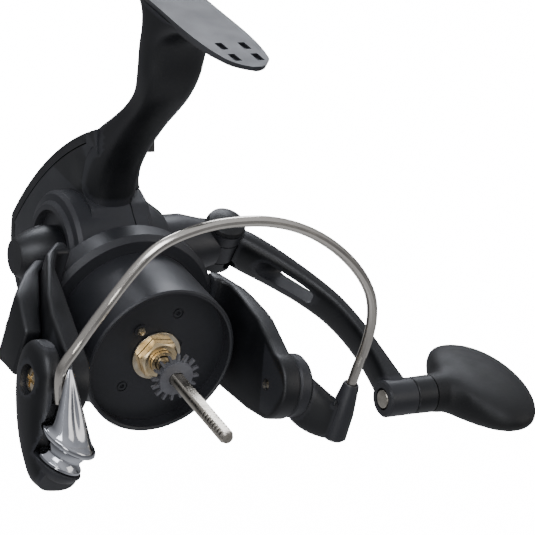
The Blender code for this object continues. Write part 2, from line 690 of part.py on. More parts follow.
def shaft_group(datum):
    shaft = axis_empty("shaft_axis", datum)
    pitch, depth = 1.25, 0.25
    profile = [(0, SHAFT_TIP), (SHAFT_R - 0.45, SHAFT_TIP), (SHAFT_R - depth, SHAFT_TIP + 0.5)]
    for i in range(int(THREAD_LENGTH / pitch)):
        y = SHAFT_TIP + 0.7 + i * pitch
        profile += [(SHAFT_R, y + 0.2 * pitch), (SHAFT_R, y + 0.5 * pitch),
                    (SHAFT_R - depth, y + 0.85 * pitch)]
    profile += [(SHAFT_R, SHAFT_TIP + THREAD_LENGTH + 1), (SHAFT_R, SHAFT_REAR), (0, SHAFT_REAR)]
    made = turned("main_shaft", profile, "Y", shaft, STEEL, sides=14)
    for side in (-1, 1):
        low, high = sorted((side * SHAFT_FLATS / 2, side * 4))
        cut(made, block(f"shaft_flat_{side}", (-4, SHAFT_TIP - 1, low), (4, CLICK_Y + 3, high), shaft))
    outline = gear_outline(CLICK_TEETH, CLICK_R - 1.75, CLICK_R, 0.36)
    half = math.sqrt((SHAFT_R + 0.12) ** 2 - (SHAFT_FLATS / 2 + 0.12) ** 2)
    reach = math.degrees(math.atan2(SHAFT_FLATS / 2 + 0.12, half))
    hole = arc((0, 0), SHAFT_R + 0.12, -reach, reach, 6) + arc((0, 0), SHAFT_R + 0.12, 180 - reach,
                            180 + reach, 6)
    gear = plate("click_gear", [outline, hole], CLICK_Y - 0.5, CLICK_Y + 0.5, "Y", shaft, GREY)
    raised = plate("click_disc", [circle(4.45, 28), hole], CLICK_Y - 0.9, CLICK_Y + 0.9, "Y", shaft)
    join(gear, raised)
    slider = block("crosswind_slider", (SLIDER_X, OSCILLATION_Y - 3.2 + PIN_SHIFT, -10.5),
                   (2.6, OSCILLATION_Y + 3.2 + PIN_SHIFT, CRANK_PIN_R + 3.2), shaft, ZINC)
    groove = block("slider_groove", (SLIDER_X - 1, OSCILLATION_Y - 1.9 + PIN_SHIFT, -CRANK_PIN_R - 2.0),
                   (SLIDER_X + 1.6, OSCILLATION_Y + 1.9 + PIN_SHIFT, CRANK_PIN_R + 2.0), shaft)
    cut(slider, groove)
    cut(slider, rod("slider_bore", SHAFT_R + 0.1, 0, 120, "Y", shaft))
    cut(slider, rod("slider_rod_bore", 1.35, 0, 120, "Y", shaft, None, (0.9, 0, GUIDE_Z), 16))
    cut(slider, rod("slider_screw_bore", 0.95, 0, 12, "X", shaft, None, (0, OSCILLATION_Y + PIN_SHIFT, 0),
                    12))
    screw_head(
        "slider_screw", 1.6, 0.6, 0, shaft, (2.8, OSCILLATION_Y + PIN_SHIFT, 0), (0, 90, 0), NICKEL, 0.6, 0.8
    )
    rod("slider_guide_rod", 1.1, CASE_FRONT + 12.5, 70.5, "Y", datum, STEEL, (0.9, 0, GUIDE_Z), 14)
    return shaft


# --- Rotor --------------------------------------------------------------------------------

def two_views(name, plan, side, parent, look, rounding=0.0):
    """What a plan outline (x, y) and a side outline (y, z) have in common."""
    made = plate(name, plan, -60, 60, "Z", parent, look)
    keep(made, plate(name + "_side_view", side, -90, 90, "X", parent))
    if rounding:
        round_edges(made, rounding, 2)
    return made


def arm_sides():
    """Side outlines (y, z) of the left and the right rotor arm."""
    nose = arc((PIVOT_Y, 0), PIVOT_R, 115, 300, 9)
    left = nose + [(-1.0, -7.6), (6.0, -8.6), (15.0, -13.0), (24.6, -16.0)]
    left += [(24.6, 19.4), (17.0, 18.4), (8.0, 15.4), (-3.0, 11.4)]
    nose = arc((PIVOT_Y, 0), PIVOT_R, 85, 262, 9)
    right = nose + [(-5.0, -9.8), (9.0, -11.4), (24.6, -13.0), (24.6, 13.6), (12.0, 13.2), (2.0, 12.2),
                    (-4.0, 10.2)]
    return left, right


def arm_plan(side):
    """Plan (x, y) of one arm: inner face, nose, and the outer face that runs in to the skirt."""
    front = PIVOT_Y - PIVOT_R - 2
    if side < 0:
        points = [
            (ARM_INNER[0], front), (ARM_OUTER[0], front), (ARM_OUTER[0], 0.0), (33.0, 6.0), (28.6,
                    19.0), (24.0, 24.4),
            (HUB_R + 1.6, 24.4), (HUB_R + 1.6, WEB_Y + 0.2), (ARM_INNER[0] - 3.6, WEB_Y - 0.2),
            (ARM_INNER[0] - 0.8, 14.0),
        ]
    else:
        points = [
            (ARM_INNER[1], front), (ARM_OUTER[1], front), (ARM_OUTER[1], 6.0), (28.6, 16.0), (24.6, 24.4),
            (HUB_R + 1.6, 24.4), (HUB_R + 1.6, WEB_Y + 0.2), (ARM_INNER[1] - 1.3,
                                    WEB_Y - 0.1), (ARM_INNER[1], 17.6),
        ]
    return [(side * x, y) for x, y in points]


def cover_plan(side):
    if side < 0:
        points = [
            (ARM_OUTER[0] + GAP, 0.6), (38.8, 0.6), (38.4, 11.0), (33.4, 18.6), (28.4, 24.2),
            (24.8, 24.3), (28.6 + GAP, 19.2), (33.0 + GAP, 6.1),
        ]
    else:
        points = [
            (ARM_OUTER[1] + GAP, 0.6), (33.4, 0.6), (33.2, 9.0), (31.6, 16.8), (28.0, 24.2),
            (25.2, 24.3), (28.6 + GAP, 16.1), (ARM_OUTER[1] + GAP, 6.1),
        ]
    return [(side * x, y) for x, y in points]


def rotor(axis):
    skirt_inner = SKIRT_R - SKIRT_WALL
    hub_inner = HUB_R - HUB_WALL
    floor = HUB_RECESS + FLOOR_THICK
    profile = [
        (8.0, floor), (8.0, 8.9), (PINION_TUBE_R + 0.1, 8.9), (PINION_TUBE_R + 0.1, HUB_RECESS),
        (HUB_R - HUB_LIP, HUB_RECESS), (HUB_R - HUB_LIP, 0.3), (HUB_R - HUB_LIP + 0.4, 0), (HUB_R - 0.4, 0),
        (HUB_R, 0.4), (HUB_R, WEB_Y), (SKIRT_R - 1.4, WEB_Y), (SKIRT_R, WEB_Y + 1.2), (SKIRT_R, SKIRT_REAR),
        (skirt_inner, SKIRT_REAR), (skirt_inner, WEB_Y + 1.7), (hub_inner, WEB_Y + 1.7), (hub_inner, floor),
    ]
    made = turned("rotor", profile[::-1], "Y", axis, BLACK, sides=36, ring=True)
    sides = arm_sides()
    for side, name, outline in ((-1, "left_arm", sides[0]), (1, "right_arm", sides[1])):
        arm = two_views(name + "_shape", arm_plan(side), outline, axis, None, 0.9)
        join(made, arm)
        hole = rod(f"{name}_pivot_bore", 1.5, 20, 40, "X", axis, None, (0, PIVOT_Y, 0), 16)
        if side < 0:
            hole.rotation_euler = (0, -math.pi / 2, 0)
        cut(made, hole)
    clear = rod("skirt_clear", skirt_inner, WEB_Y + 1.7, SKIRT_REAR + 2, "Y", axis, sides=36)
    cut(made, clear)
    spots = ((-6.4, 6.6), (2.8, 11.6), (5.0, 3.0), (-6.6, -9.2))
    x, z = spots[0]
    join(made, rod("retainer_boss", 1.6, HUB_RECESS - 0.7, floor, "Y", axis, None, (x, 0, z), 16))
    for i, (x, z) in enumerate(spots[1:]):
        cut(made, rod(f"floor_mark_{i}", 0.8, 0, HUB_RECESS + 0.5, "Y", axis, None, (x, 0, z), 12))
    cut(made, rod("retainer_screw_bore", 0.8, 0, HUB_RECESS + 1.2, "Y", axis, None,
                  (spots[0][0], 0, spots[0][1])))
    screw_head("retainer_screw", 1.1, 0.5, 0.35, axis, (spots[0][0], HUB_RECESS - 0.85, spots[0][1]),
               (90, 0, 0),
               NICKEL, 1.5, 0.6)
    return made


def cover_normal(side):
    """Outward direction of the slanting rear part of an arm cover."""
    ends = ((38.4, 11.0), (33.4, 18.6)) if side < 0 else ((33.2, 9.0), (31.6, 16.8))
    run = Vector(ends[1]) - Vector(ends[0])
    return Vector((side * run.y, -run.x, 0)).normalized()


def arm_covers(axis):
    """The covers on the outer side of both rotor arms, each with its screw."""
    left_side = [(0.6, 6.8), (8.0, 10.8), (16.0, 13.0), (24.2, 14.4), (24.2, -9.6), (15.0, -7.2),
                 (7.0, -5.8), (0.6, -5.2)]
    right_side = [(0.6, 6.0), (16.0, 8.6), (24.2, 10.0), (24.2, -10.0), (16.0, -9.6), (4.0, -8.6),
                  (0.6, -7.0)]
    spots = ((-1, "left_arm_cover", left_side, (35.9, 14.8, 1.0)),
             (1, "right_arm_cover", right_side, (32.4, 12.9, 0.0)))
    for side, name, outline, (x, y, z) in spots:
        made = two_views(name, cover_plan(side), outline, axis, BLACK, 1.0)
        around = arc((PIVOT_Y, 0), BAIL_SWEEP, 0, 345, 23)
        cut(made, plate(name + "_front_clear", around, -60, 60, "X", axis))
        normal = cover_normal(side)
        facing = normal.to_track_quat("Z", "Y")
        seat = rod(name + "_seat", 2.2, -0.6, 6, "Z", axis, None, (side * x, y, z), 18)
        hole = rod(name + "_hole", 1.1, -2.6, 1, "Z", axis, None, (side * x, y, z), 12)
        screw = screw_head(name + "_screw", 1.9, 0.9, 0.65, axis, (side * x, y, z), (0, 0, 0), NICKEL, 1.6,
                           0.9)
        screw.location += normal * -0.4 * MM
        for made_here in (seat, hole, screw):
            made_here.rotation_mode = "QUATERNION"
            made_here.rotation_quaternion = facing
        cut(made, seat, hole)


def nut_and_washer(axis):
    turn = [(math.radians(angle)) for angle in range(0, 360, 60)]
    outline = [(NUT_R * math.cos(a), NUT_R * math.sin(a)) for a in turn]
    nut = plate("rotor_nut", outline, NUT_FRONT, NUT_BACK, "Y", axis, BRASS)
    cone = [(0, NUT_FRONT - 1), (NUT_R - 1.9, NUT_FRONT - 0.6), (NUT_R + 1.0, NUT_FRONT + 1.5),
            (NUT_R + 1.0, NUT_BACK + 1), (0, NUT_BACK + 1)]
    keep(nut, turned("nut_chamfer", cone, "Y", axis, sides=36))
    cut(nut, rod("nut_bore", PINION_TUBE_R + 0.1, -5, 8, "Y", axis, sides=24))
    tube("nut_washer", PINION_TUBE_R + 0.1, WASHER_R, NUT_BACK + 0.2, HUB_RECESS - 0.2, "Y", axis, NICKEL,
         sides=36)


def front_bearings(datum, axis):
    """What sits in the neck: pinion bearing, clutch, its sleeve and the retainer with its screws."""
    tube("pinion_bearing", PINION_TUBE_R + 0.1, 7.4, 20.9, 23.4, "Y", datum, STEEL, sides=28)
    tube("anti_reverse_clutch", 4.4, 12.1, 12.0, 20.2, "Y", datum, STEEL, sides=32)
    tube("clutch_sleeve", PINION_TUBE_R + 0.1, 4.2, 9.4, 20.3, "Y", axis, STEEL, sides=28)
    retainer = tube("clutch_retainer", 8.6, 12.1, 10.2, 11.7, "Y", datum, BLACK, sides=32)
    for i in range(3):
        angle = math.radians(83 + 120 * i)
        x, z = 10.3 * math.cos(angle), 10.3 * math.sin(angle)
        cut(retainer, rod(f"retainer_hole_{i}", 0.9, 9, 13, "Y", datum, None, (x, 0, z), 12))
        screw_head(f"clutch_retainer_screw_{i + 1}", 1.4, 0.7, 0, datum, (x, 10.0, z), (90, 0, 0), NICKEL,
                   1.5, 0.7, 12)
    tube("pinion_bush", PINION_TUBE_R + 0.1, 3.9, PINION_REAR - 3.0, PINION_REAR - 0.4, "Y", datum, BRASS,
         sides=24)


# --- Bail ---------------------------------------------------------------------------------

def roller_axis_direction():
    lean = math.radians(ROLLER_TILT)
    return Vector((math.sin(lean), 0, math.cos(lean)))


def bail_arm(bail):
    """The arm from its round pivot end, down and forwards to the roller's seat."""
    across = Vector((1, 0, 0))
    stations = (  # y, z, x, half width, half thickness
        (1.8, 8.6, -37.7, 2.6, 1.7),
        (1.6, 7.1, -37.8, 5.2, 2.7),
        (1.4, 4.2, -37.9, 7.3, 3.1),
        (0.8, 0.2, -37.9, 8.0, 3.2),
        (-2.0, -4.8, -37.9, 7.8, 3.2),
        (-6.0, -9.8, -38.0, 6.6, 3.3),
        (-10.0, -13.3, -37.6, 5.6, 3.7),
        (-13.8, -15.6, -36.4, 5.0, 4.8),
        (-17.2, -16.6, -35.6, 3.6, 4.6),
    )
    rings = []
    for i, (y, z, x, half, thick) in enumerate(stations):
        near = stations[max(i - 1, 0)]
        far = stations[min(i + 1, len(stations) - 1)]
        path = Vector((0, far[0] - near[0], far[1] - near[1])).normalized()
        rings.append(section((x, y, z), path.cross(across), across, half, thick, 16, 2.6))
    made = loft("bail_arm", rings, bail, BLACK)
    seat_at = Vector(ROLLER_AT) - roller_axis_direction() * (ROLLER_LENGTH / 2 + GAP)
    profile = [(0, -3.6), (3.0, -3.4), (5.0, -2.2), (5.9, -0.6), (5.9, -0.2), (5.6, 0), (0, 0)]
    join(made, turned("roller_seat", profile, "Z", bail, None, seat_at, 24, turn=(0, ROLLER_TILT, 0)))
    room = rod("roller_room", ROLLER_R + 1.2, 0, 9, "Z", bail, None, seat_at, 28, turn=(0, ROLLER_TILT, 0))
    cut(made, room)
    inner = block("rotor_arm_clear", (-ARM_OUTER[0] - 2 * GAP, -11.5, -20), (-20, 14, 20), bail)
    cut(made, inner)
    base = Vector(ROLLER_AT) + roller_axis_direction() * (ROLLER_LENGTH / 2 + GAP)
    cut(made, loft("fairing_room", fairing_rings(base, 0.5), bail))
    upward = [point - Vector((0, 0, 1)) if i == 0 else point for i,
              point in enumerate(smooth_run(wire_points(), 2)[:8])]
    cut(made, mesh_from_curve(wire_curve("wire_room", WIRE_R + 0.4, bail, BLACK, upward)))
    cut(made, rod("pivot_seat", 3.6, 38.6, 50, "X", bail, None, (0, 0, 0), 24, turn=(0, -90, 0)))
    cut(made, rod("pivot_hole", 2.4, 20, 50, "X", bail, None, (0, 0, 0), 20, turn=(0, -90, 0)))
    cut(made, rod("roller_screw_hole", 1.0, -5, 3, "Z", bail, None, seat_at, 14, turn=(0, ROLLER_TILT, 0)))
    return seat_at


def fairing_rings(base, extra):
    """Rings of the fairing's leaning cone, from its round base to the tip beside the wire."""
    normal = roller_axis_direction()
    across = normal.cross(Vector((0, 1, 0))).normalized()
    tip = Vector((-36.4, WIRE_PLANE - 0.4, 8.4))
    rings = []
    for share, size in ((0.0, 0.96), (0.05, 1.0), (0.25, 0.80), (0.5, 0.55), (0.75, 0.32), (1.0, 0.13)):
        radius = FAIRING_R * size + extra
        rings.append(section(base.lerp(tip, share), across, Vector((0, 1, 0)), radius, radius, 22, 2.0))
    return rings


def roller_group(bail, seat_at):
    axis = axis_empty("roller_axis", bail, ROLLER_AT, (0, ROLLER_TILT, 0))
    half = ROLLER_LENGTH / 2
    profile = [
        (ROLLER_BORE, -half), (ROLLER_R, -half), (ROLLER_R, -half + 0.7), (ROLLER_WAIST + 0.3, -0.8),
        (ROLLER_WAIST, 0), (ROLLER_WAIST + 0.3, 0.8), (ROLLER_R - 0.5, half - 0.6), (ROLLER_R - 0.5, half),
        (ROLLER_BORE, half),
    ]
    turned("line_roller", profile, "Z", axis, CHROME, sides=30, ring=True)
    tube("roller_bush", 1.2, ROLLER_BORE - 0.1, -half + 0.1, half - 0.1, "Z", bail, BRASS, ROLLER_AT, 20,
         turn=(0, ROLLER_TILT, 0))
    base = Vector(ROLLER_AT) + roller_axis_direction() * (half + GAP)
    fairing = loft("roller_fairing", fairing_rings(base, 0.0), bail, CHROME)
    cut(fairing, rod("fairing_screw_bore", 1.0, -4, 3.2, "Z", bail, None, base, 14, turn=(0, ROLLER_TILT, 0)))
    screw = rod("roller_screw", 0.85, -3.2 - ROLLER_LENGTH - GAP, 2.9, "Z", bail, NICKEL, base, 14,
                turn=(0, ROLLER_TILT, 0))
    return fairing, screw


def wire_points():
    """The bail wire's run in the bail's frame: up from the fairing, over the front, down to the socket."""
    run = (
        (-36.4, -0.6), (-37.9, 5.0), (-38.1, 8.4), (-36.4, 13.0), (-31.6, 24.5), (-26.8, 34.6), (-22.6, 40.2),
        (-16.0, 44.2), (-7.6, 47.0), (3.2, 48.2), (13.6, 46.9), (23.6, 43.2), (32.6, 37.6), (39.0, 31.2),
        (42.2, 24.4), (43.2, 17.0), (SOCKET_X, 10.0), (SOCKET_X, SOCKET_TOP), (SOCKET_X, SOCKET_TOP - 6.0),
    )
    return [Vector((x, WIRE_PLANE, z)) for x, z in run]


def smooth_run(points, steps=3):
    """A Catmull-Rom curve through the points."""
    made = []
    for i in range(len(points) - 1):
        before = points[max(i - 1, 0)]
        after = points[min(i + 2, len(points) - 1)]
        for step in range(steps):
            t = step / steps
            a, b = points[i], points[i + 1]
            made.append(
                0.5 * (2 * a + (b - before) * t + (2 * before - 5 * a + 4 * b - after) * t * t
                       + (3 * a - before - 3 * b + after) * t ** 3)
            )
    return made + [points[-1]]


def wire_curve(name, radius, parent, look, points, resolution=2):
    curve = bpy.data.curves.new(name, "CURVE")
    curve.dimensions = "3D"
    curve.bevel_depth = radius * MM
    curve.bevel_resolution = resolution
    curve.use_fill_caps = True
    spline = curve.splines.new("POLY")
    spline.points.add(len(points) - 1)
    for point, place_at in zip(spline.points, points):
        point.co = (*(place_at * MM), 1)
    return place(name, curve, parent, look)


def mesh_from_curve(made):
    """The curve's solid as a mesh object, so that it can cut or be cut."""
    graph = bpy.context.evaluated_depsgraph_get()
    mesh = bpy.data.meshes.new_from_object(made.evaluated_get(graph))
    tidy(mesh)
    name, parent = made.name, made.parent
    curve = made.data
    bpy.data.objects.remove(made)
    bpy.data.curves.remove(curve)
    mesh.name = name
    return place(name, mesh, parent, None)


def bail_holder(bail):
    """Disc on the right pivot, a web that runs out and forwards, and the wire's socket."""
    inner = ARM_OUTER[1] + GAP
    profile = [(0, inner), (7.4, inner), (8.0, inner + 0.6), (8.0, inner + 3.0), (7.2, inner + 4.0),
               (0, inner + 4.0)]
    made = turned("bail_holder", profile, "X", bail, BLACK, sides=26)
    up = Vector((0, 0, 1))
    stations = (  # x, y, z, half height, half thickness
        (32.0, -1.0, -0.5, 6.0, 1.5),
        (33.6, -3.6, -1.6, 6.6, 1.9),
        (36.4, -6.0, -3.0, 6.4, 2.2),
        (40.0, -8.2, -4.2, 5.6, 2.3),
        (SOCKET_X, WIRE_PLANE, -4.6, 5.0, 2.0),
    )
    rings = []
    for i, (x, y, z, half, thick) in enumerate(stations):
        near = stations[max(i - 1, 0)]
        far = stations[min(i + 1, len(stations) - 1)]
        path = Vector((far[0] - near[0], far[1] - near[1], 0)).normalized()
        rings.append(section((x, y, z), path.cross(up), up, thick, half, 16, 2.8))
    web = loft("holder_web", rings, bail)
    cut(web, block("holder_inner_clear", (20, -30, -20), (inner + 0.4, 30, 20), bail))
    join(made, web)
    socket = [(0, SOCKET_LOW), (2.6, SOCKET_LOW), (3.3, SOCKET_LOW + 0.8), (3.1, -2.0),
              (2.1, SOCKET_TOP - 0.3),
              (1.9, SOCKET_TOP), (0, SOCKET_TOP)]
    join(made, turned("holder_socket", socket, "Z", bail, None, (SOCKET_X, WIRE_PLANE, 0), 20))
    cut(made, rod("socket_bore", WIRE_R + 0.15, SOCKET_TOP - 6.4, SOCKET_TOP + 4, "Z", bail, None,
                  (SOCKET_X, WIRE_PLANE, 0), 16))
    cut(made, rod("holder_pivot_hole", 2.0, 20, 50, "X", bail, None, (0, 0, 0), 20))
    cut(made, rod("holder_pivot_seat", 3.5, inner + 2.4, 50, "X", bail, None, (0, 0, 0), 20))
    at = (38.9, -9.6, 1.0)
    cut(made, rod("wire_screw_hole", 1.0, 0.4, 5, "Z", bail, None, at, 12, turn=(90, 0, 32)))
    screw_head("wire_screw", 0.8, 0.5, 0, bail, (at[0] + 0.3, at[1] - 0.5, at[2]), (90, 0, 32), NICKEL)
    return made


def pivot_screws(axis):
    spots = ((-1, "left_pivot_screw", 38.7, ARM_INNER[0]), (1, "right_pivot_screw", 32.5, ARM_INNER[1]))
    for side, name, seat, inner in spots:
        screw_head(name, 3.2, 1.5, 1.1, axis, (side * seat, PIVOT_Y, 0), (0, side * 90, 0), NICKEL,
                   seat - inner - 1.0, 1.3)


# --- Handle -------------------------------------------------------------------------------

def handle_shank(crank):
    profile = [
        (0, SHANK_START), (SHANK_R - 0.8, SHANK_START), (SHANK_R, SHANK_START + 0.8), (SHANK_R, 22.5),
        (SHANK_END_R + 0.6, 28.0), (SHANK_END_R, SHANK_END), (0, SHANK_END),
    ]
    made = turned("handle_shank", profile, "X", crank, BLACK, sides=26)
    for side in (-1, 1):
        low, high = sorted((side * (TONGUE_HALF + 0.0), side * 12))
        cut(made, rod(f"knuckle_room_{side}", KNUCKLE_R + 0.3, low, high, "Z", crank, None, (HINGE_X, 0, 0),
                      28))
    join(made, rod("tongue", KNUCKLE_R, -TONGUE_HALF, TONGUE_HALF, "Z", crank, None, (HINGE_X, 0, 0), 28))
    cut(made, rod("tongue_hole", 1.8, -9, 9, "Z", crank, None, (HINGE_X, 0, 0), 16))
    half = ROD_SIDE / 2
    join(made, block("drive_rod", (-10.6, -half, -half), (SHANK_START + 2, half, half), crank))
    join(made, rod("drive_thread", 1.5, -21.0, -10.0, "X", crank, None, (0, 0, 0), 16))
    return made


def arm_centre(share):
    """Centre of the arm (x, y) at a share of its length; it slants out, then runs straight."""
    points = ((0.0, 36.0), (0.09, 41.2), (0.17, 45.4), (0.29, 51.1), (0.44, 56.6), (0.62, 60.0),
              (0.8, 61.4), (1.0, ARM_END_X))
    for (s0, x0), (s1, x1) in zip(points, points[1:]):
        if share <= s1:
            return x0 + (x1 - x0) * (share - s0) / (s1 - s0)
    return ARM_END_X


def handle_arm(fold):
    """The cranked arm in the fold hinge's frame, whose origin is at HINGE_X on the crank axis."""
    up = Vector((0, 0, 1))
    stations = (  # share of the length, half width, half thickness
        (0.02, 5.4, 3.0), (0.07, 5.8, 3.2), (0.14, 5.7, 3.0), (0.22, 5.4, 2.7), (0.33, 5.0, 2.4), (0.46,
                                4.7, 2.2),
        (0.6, 4.5, 2.1), (0.75, 4.4, 2.2), (0.88, 4.4, 2.8), (0.97, 4.3, 3.6), (1.0, 3.6, 3.4),
    )
    rings = []
    for share, half, thick in stations:
        ahead, behind = min(share + 0.04, 1.0), max(share - 0.04, 0.0)
        path = Vector((arm_centre(ahead) - arm_centre(behind), -(ahead - behind) * ARM_LENGTH,
                       0)).normalized()
        centre = (arm_centre(share) - HINGE_X, -share * ARM_LENGTH, 0)
        rings.append(section(centre, path.cross(up), up, thick, half, 14, 3.0))
    made = loft("handle_arm", rings, fold, BLACK)
    # Nothing of the bar may stand behind the hinge's knuckle, or the fold would lock
    cut(made, block("shank_clear", (-20, -9, -12), (SHANK_END + GAP - HINGE_X, 14, 12), fold))
    boss = [(0, ARM_END_X - ARM_BOSS_HALF - 0.2), (ARM_BOSS_R - 0.5, ARM_END_X - ARM_BOSS_HALF - 0.2),
            (ARM_BOSS_R, ARM_END_X - ARM_BOSS_HALF + 0.3), (ARM_BOSS_R, ARM_END_X + ARM_BOSS_HALF),
            (0, ARM_END_X + ARM_BOSS_HALF)]
    at = (-HINGE_X, -ARM_LENGTH, 0)
    join(made, turned("arm_end_boss", boss, "X", fold, None, at, 24))
    for side in (-1, 1):
        low, high = sorted((side * (TONGUE_HALF + GAP), side * 6.4))
        join(made, rod(f"arm_ear_{side}", KNUCKLE_R, low, high, "Z", fold, sides=28))
    inside = TONGUE_HALF + GAP
    cut(made, rod("tongue_room", KNUCKLE_R + GAP, -inside, inside, "Z", fold, sides=28))
    cut(made, rod("hinge_hole", 1.8, -12, 12, "Z", fold, sides=16))
    near, far = -0.17 * ARM_LENGTH, -0.40 * ARM_LENGTH
    slot = rounded([(far, -1.6, 1.2), (near, -2.6, 2.0), (near, 3.0, 2.0), (far, 2.2, 1.2)], 3)
    cut(made, plate("arm_slot", slot, 0, 40, "X", fold))
    cut(made, rod("knob_axle_hole", AXLE_KNOB_R + 0.1, 10, 60, "X", fold, None, (0, -ARM_LENGTH, 0), 18))
    cut(made, rod("axle_head_seat", 2.9, 10, ARM_END_X - HINGE_X - ARM_BOSS_HALF + 0.6, "X", fold, None,
                  (0, -ARM_LENGTH, 0), 20))
    pocket = rod("hinge_screw_pocket", 1.6, 2.2, 9, "Z", fold, None, (0, 0, 0), 14, turn=(90, 0, 0))
    pocket.location = Vector((2.2, -1.4, -3.9)) * MM
    cut(made, pocket)
    return made


def fold_pin(crank, fold):
    """Pin through the hinge with a domed head above the upper ear."""
    profile = [(0, -6.2), (1.5, -6.2), (1.5, 6.7), (KNUCKLE_R - 0.1, 6.7), (KNUCKLE_R - 0.5, 7.7),
               (3.4, 8.5), (0, 8.8)]
    turned("fold_pin", profile, "Z", fold, BLACK, sides=28)


def knob_group(fold, knob):
    """Axle, collar and knob, in a frame whose X is the knob's axis."""
    inner = ARM_END_X - ARM_BOSS_HALF
    profile = [(0, inner - 0.5), (2.3, inner - 0.3), (2.6, inner + 0.4), (AXLE_KNOB_R, inner + 0.4),
               (AXLE_KNOB_R, COLLAR_END + 9.0), (0, COLLAR_END + 9.0)]
    turned("knob_axle", profile, "X", knob, STEEL, sides=20)
    spin = axis_empty("knob_spin_axis", knob)
    start = ARM_END_X + ARM_BOSS_HALF + 0.3
    bore = AXLE_KNOB_R + 0.15
    profile = [(bore, start), (4.5, start), (4.8, start + 0.3), (4.9, COLLAR_END - 0.3),
               (bore, COLLAR_END - 0.3)]
    turned("knob_collar", profile, "X", spin, BLACK, sides=24, ring=True)
    rings = []
    low, high = KNOB_CENTRE - KNOB_HALF[0], KNOB_CENTRE + KNOB_HALF[0]
    stations = (  # x, half along Y, half along Z
        (COLLAR_END, 4.8, 4.8), (COLLAR_END + 1.5, 5.1, 5.0), (75.6, 5.5, 5.1), (77.2, 7.6, 5.3), (78.8,
                                11.4, 5.5),
        (81.2, 15.6, 5.7), (84.6, 18.8, 5.9), (88.4, KNOB_HALF[1], KNOB_HALF[2]), (92.6, 18.3, 5.6),
        (96.0, 14.7, 4.7), (98.4, 9.4, 3.2), (high, 3.0, 1.2),
    )
    for x, half_y, half_z in stations:
        rings.append(section((x, 0, 0), (0, 1, 0), (0, 0, 1), half_y, half_z, 20, 2.1))
    made = loft("knob", rings, spin, SOFT)
    cut(made, rod("knob_bore", bore, COLLAR_END - 2, COLLAR_END + 9.6, "X", spin, sides=20))
    return spin, low


def handle_cap(crank):
    """Screw cap on the far end of the drive rod, its grip slots round the root."""
    inner = CAP_SEAT - GAP
    profile = [(0, CAP_END), (CAP_R - 0.4, CAP_END), (CAP_R, CAP_END + 0.4), (6.6, CAP_END + 4.0),
               (CAP_ROOT_R, CAP_ROOT), (CAP_ROOT_R - 0.3, inner), (AXLE_R - 0.2, inner), (AXLE_R - 0.2,
                                       -11.2),
               (0, -11.2)]
    made = turned("handle_cap", profile, "X", crank, BLACK, sides=26)
    cut(made, rod("cap_thread_bore", 1.8, -21.4, -9, "X", crank, sides=16))
    for i in range(4):
        angle = math.radians(45 + 90 * i)
        at = (0, (CAP_ROOT_R + 0.7) * math.cos(angle), (CAP_ROOT_R + 0.7) * math.sin(angle))
        cut(made, rod(f"cap_grip_{i}", 1.3, CAP_END + 4.6, -9, "X", crank, None, at, 12))
    return made


# --- Assembly -----------------------------------------------------------------------------

for old in list(bpy.data.objects):
    bpy.data.objects.remove(old)

PARTS = new_collection("spinning_reel")
CUTTERS = new_collection("cutters")
BLACK = finish("black_nylon", (0.022, 0.023, 0.026), 0.5)
SOFT = finish("soft_touch", (0.03, 0.03, 0.034), 0.65)
CHROME = finish("chrome", (0.8, 0.8, 0.82), 0.12, 1.0)
STEEL = finish("steel", (0.62, 0.6, 0.57), 0.3, 1.0)
NICKEL = finish("nickel", (0.68, 0.64, 0.58), 0.22, 1.0)
BRASS = finish("brass", (0.72, 0.52, 0.22), 0.25, 1.0)
ZINC = finish("zinc_casting", (0.45, 0.45, 0.46), 0.45, 1.0)
GREY = finish("grey_zinc", (0.35, 0.35, 0.36), 0.5, 0.8)
WHITE_PLASTIC = finish("acetal", (0.7, 0.7, 0.68), 0.4)

OSCILLATION_REACH = SPUR_MODULE * (SPUR_TEETH + OSCILLATION_TEETH) / 2 + 0.1
OSCILLATION_Y = CRANK_Y + math.sqrt(OSCILLATION_REACH ** 2 - CRANK_Z ** 2)
PIN_SHIFT = 1.5                # how far behind mid-stroke the shaft rests
PIN_ANGLE = math.degrees(math.acos(PIN_SHIFT / CRANK_PIN_R))
SLIDER_X = -3.0
GUIDE_Z = -7.6
LEVER_Y = 46.0
COVER_SCREWS = ((34.0, -13.6), (66.0, -9.0), (58.6, 21.4))
BAIL_SWEEP = 9.4

reel = axis_empty("reel_datum", None, (0, -FOOT_CENTRE_Y, -FOOT_HEIGHT))
crank_axis = axis_empty("crank_axis", reel, (0, CRANK_Y, CRANK_Z), (CRANK_REST, 0, 0))
rotor_axis = axis_empty("rotor_axis", reel, (0, 0, 0), (0, ROTOR_REST, 0))
bail_axis = axis_empty("bail_axis", rotor_axis, (0, PIVOT_Y, 0))
fold_axis = axis_empty("fold_axis", crank_axis, (HINGE_X, 0, 0))
knob_axis = axis_empty("knob_axis", crank_axis, (0, -ARM_LENGTH, 0), (-CRANK_REST, 0, 0))

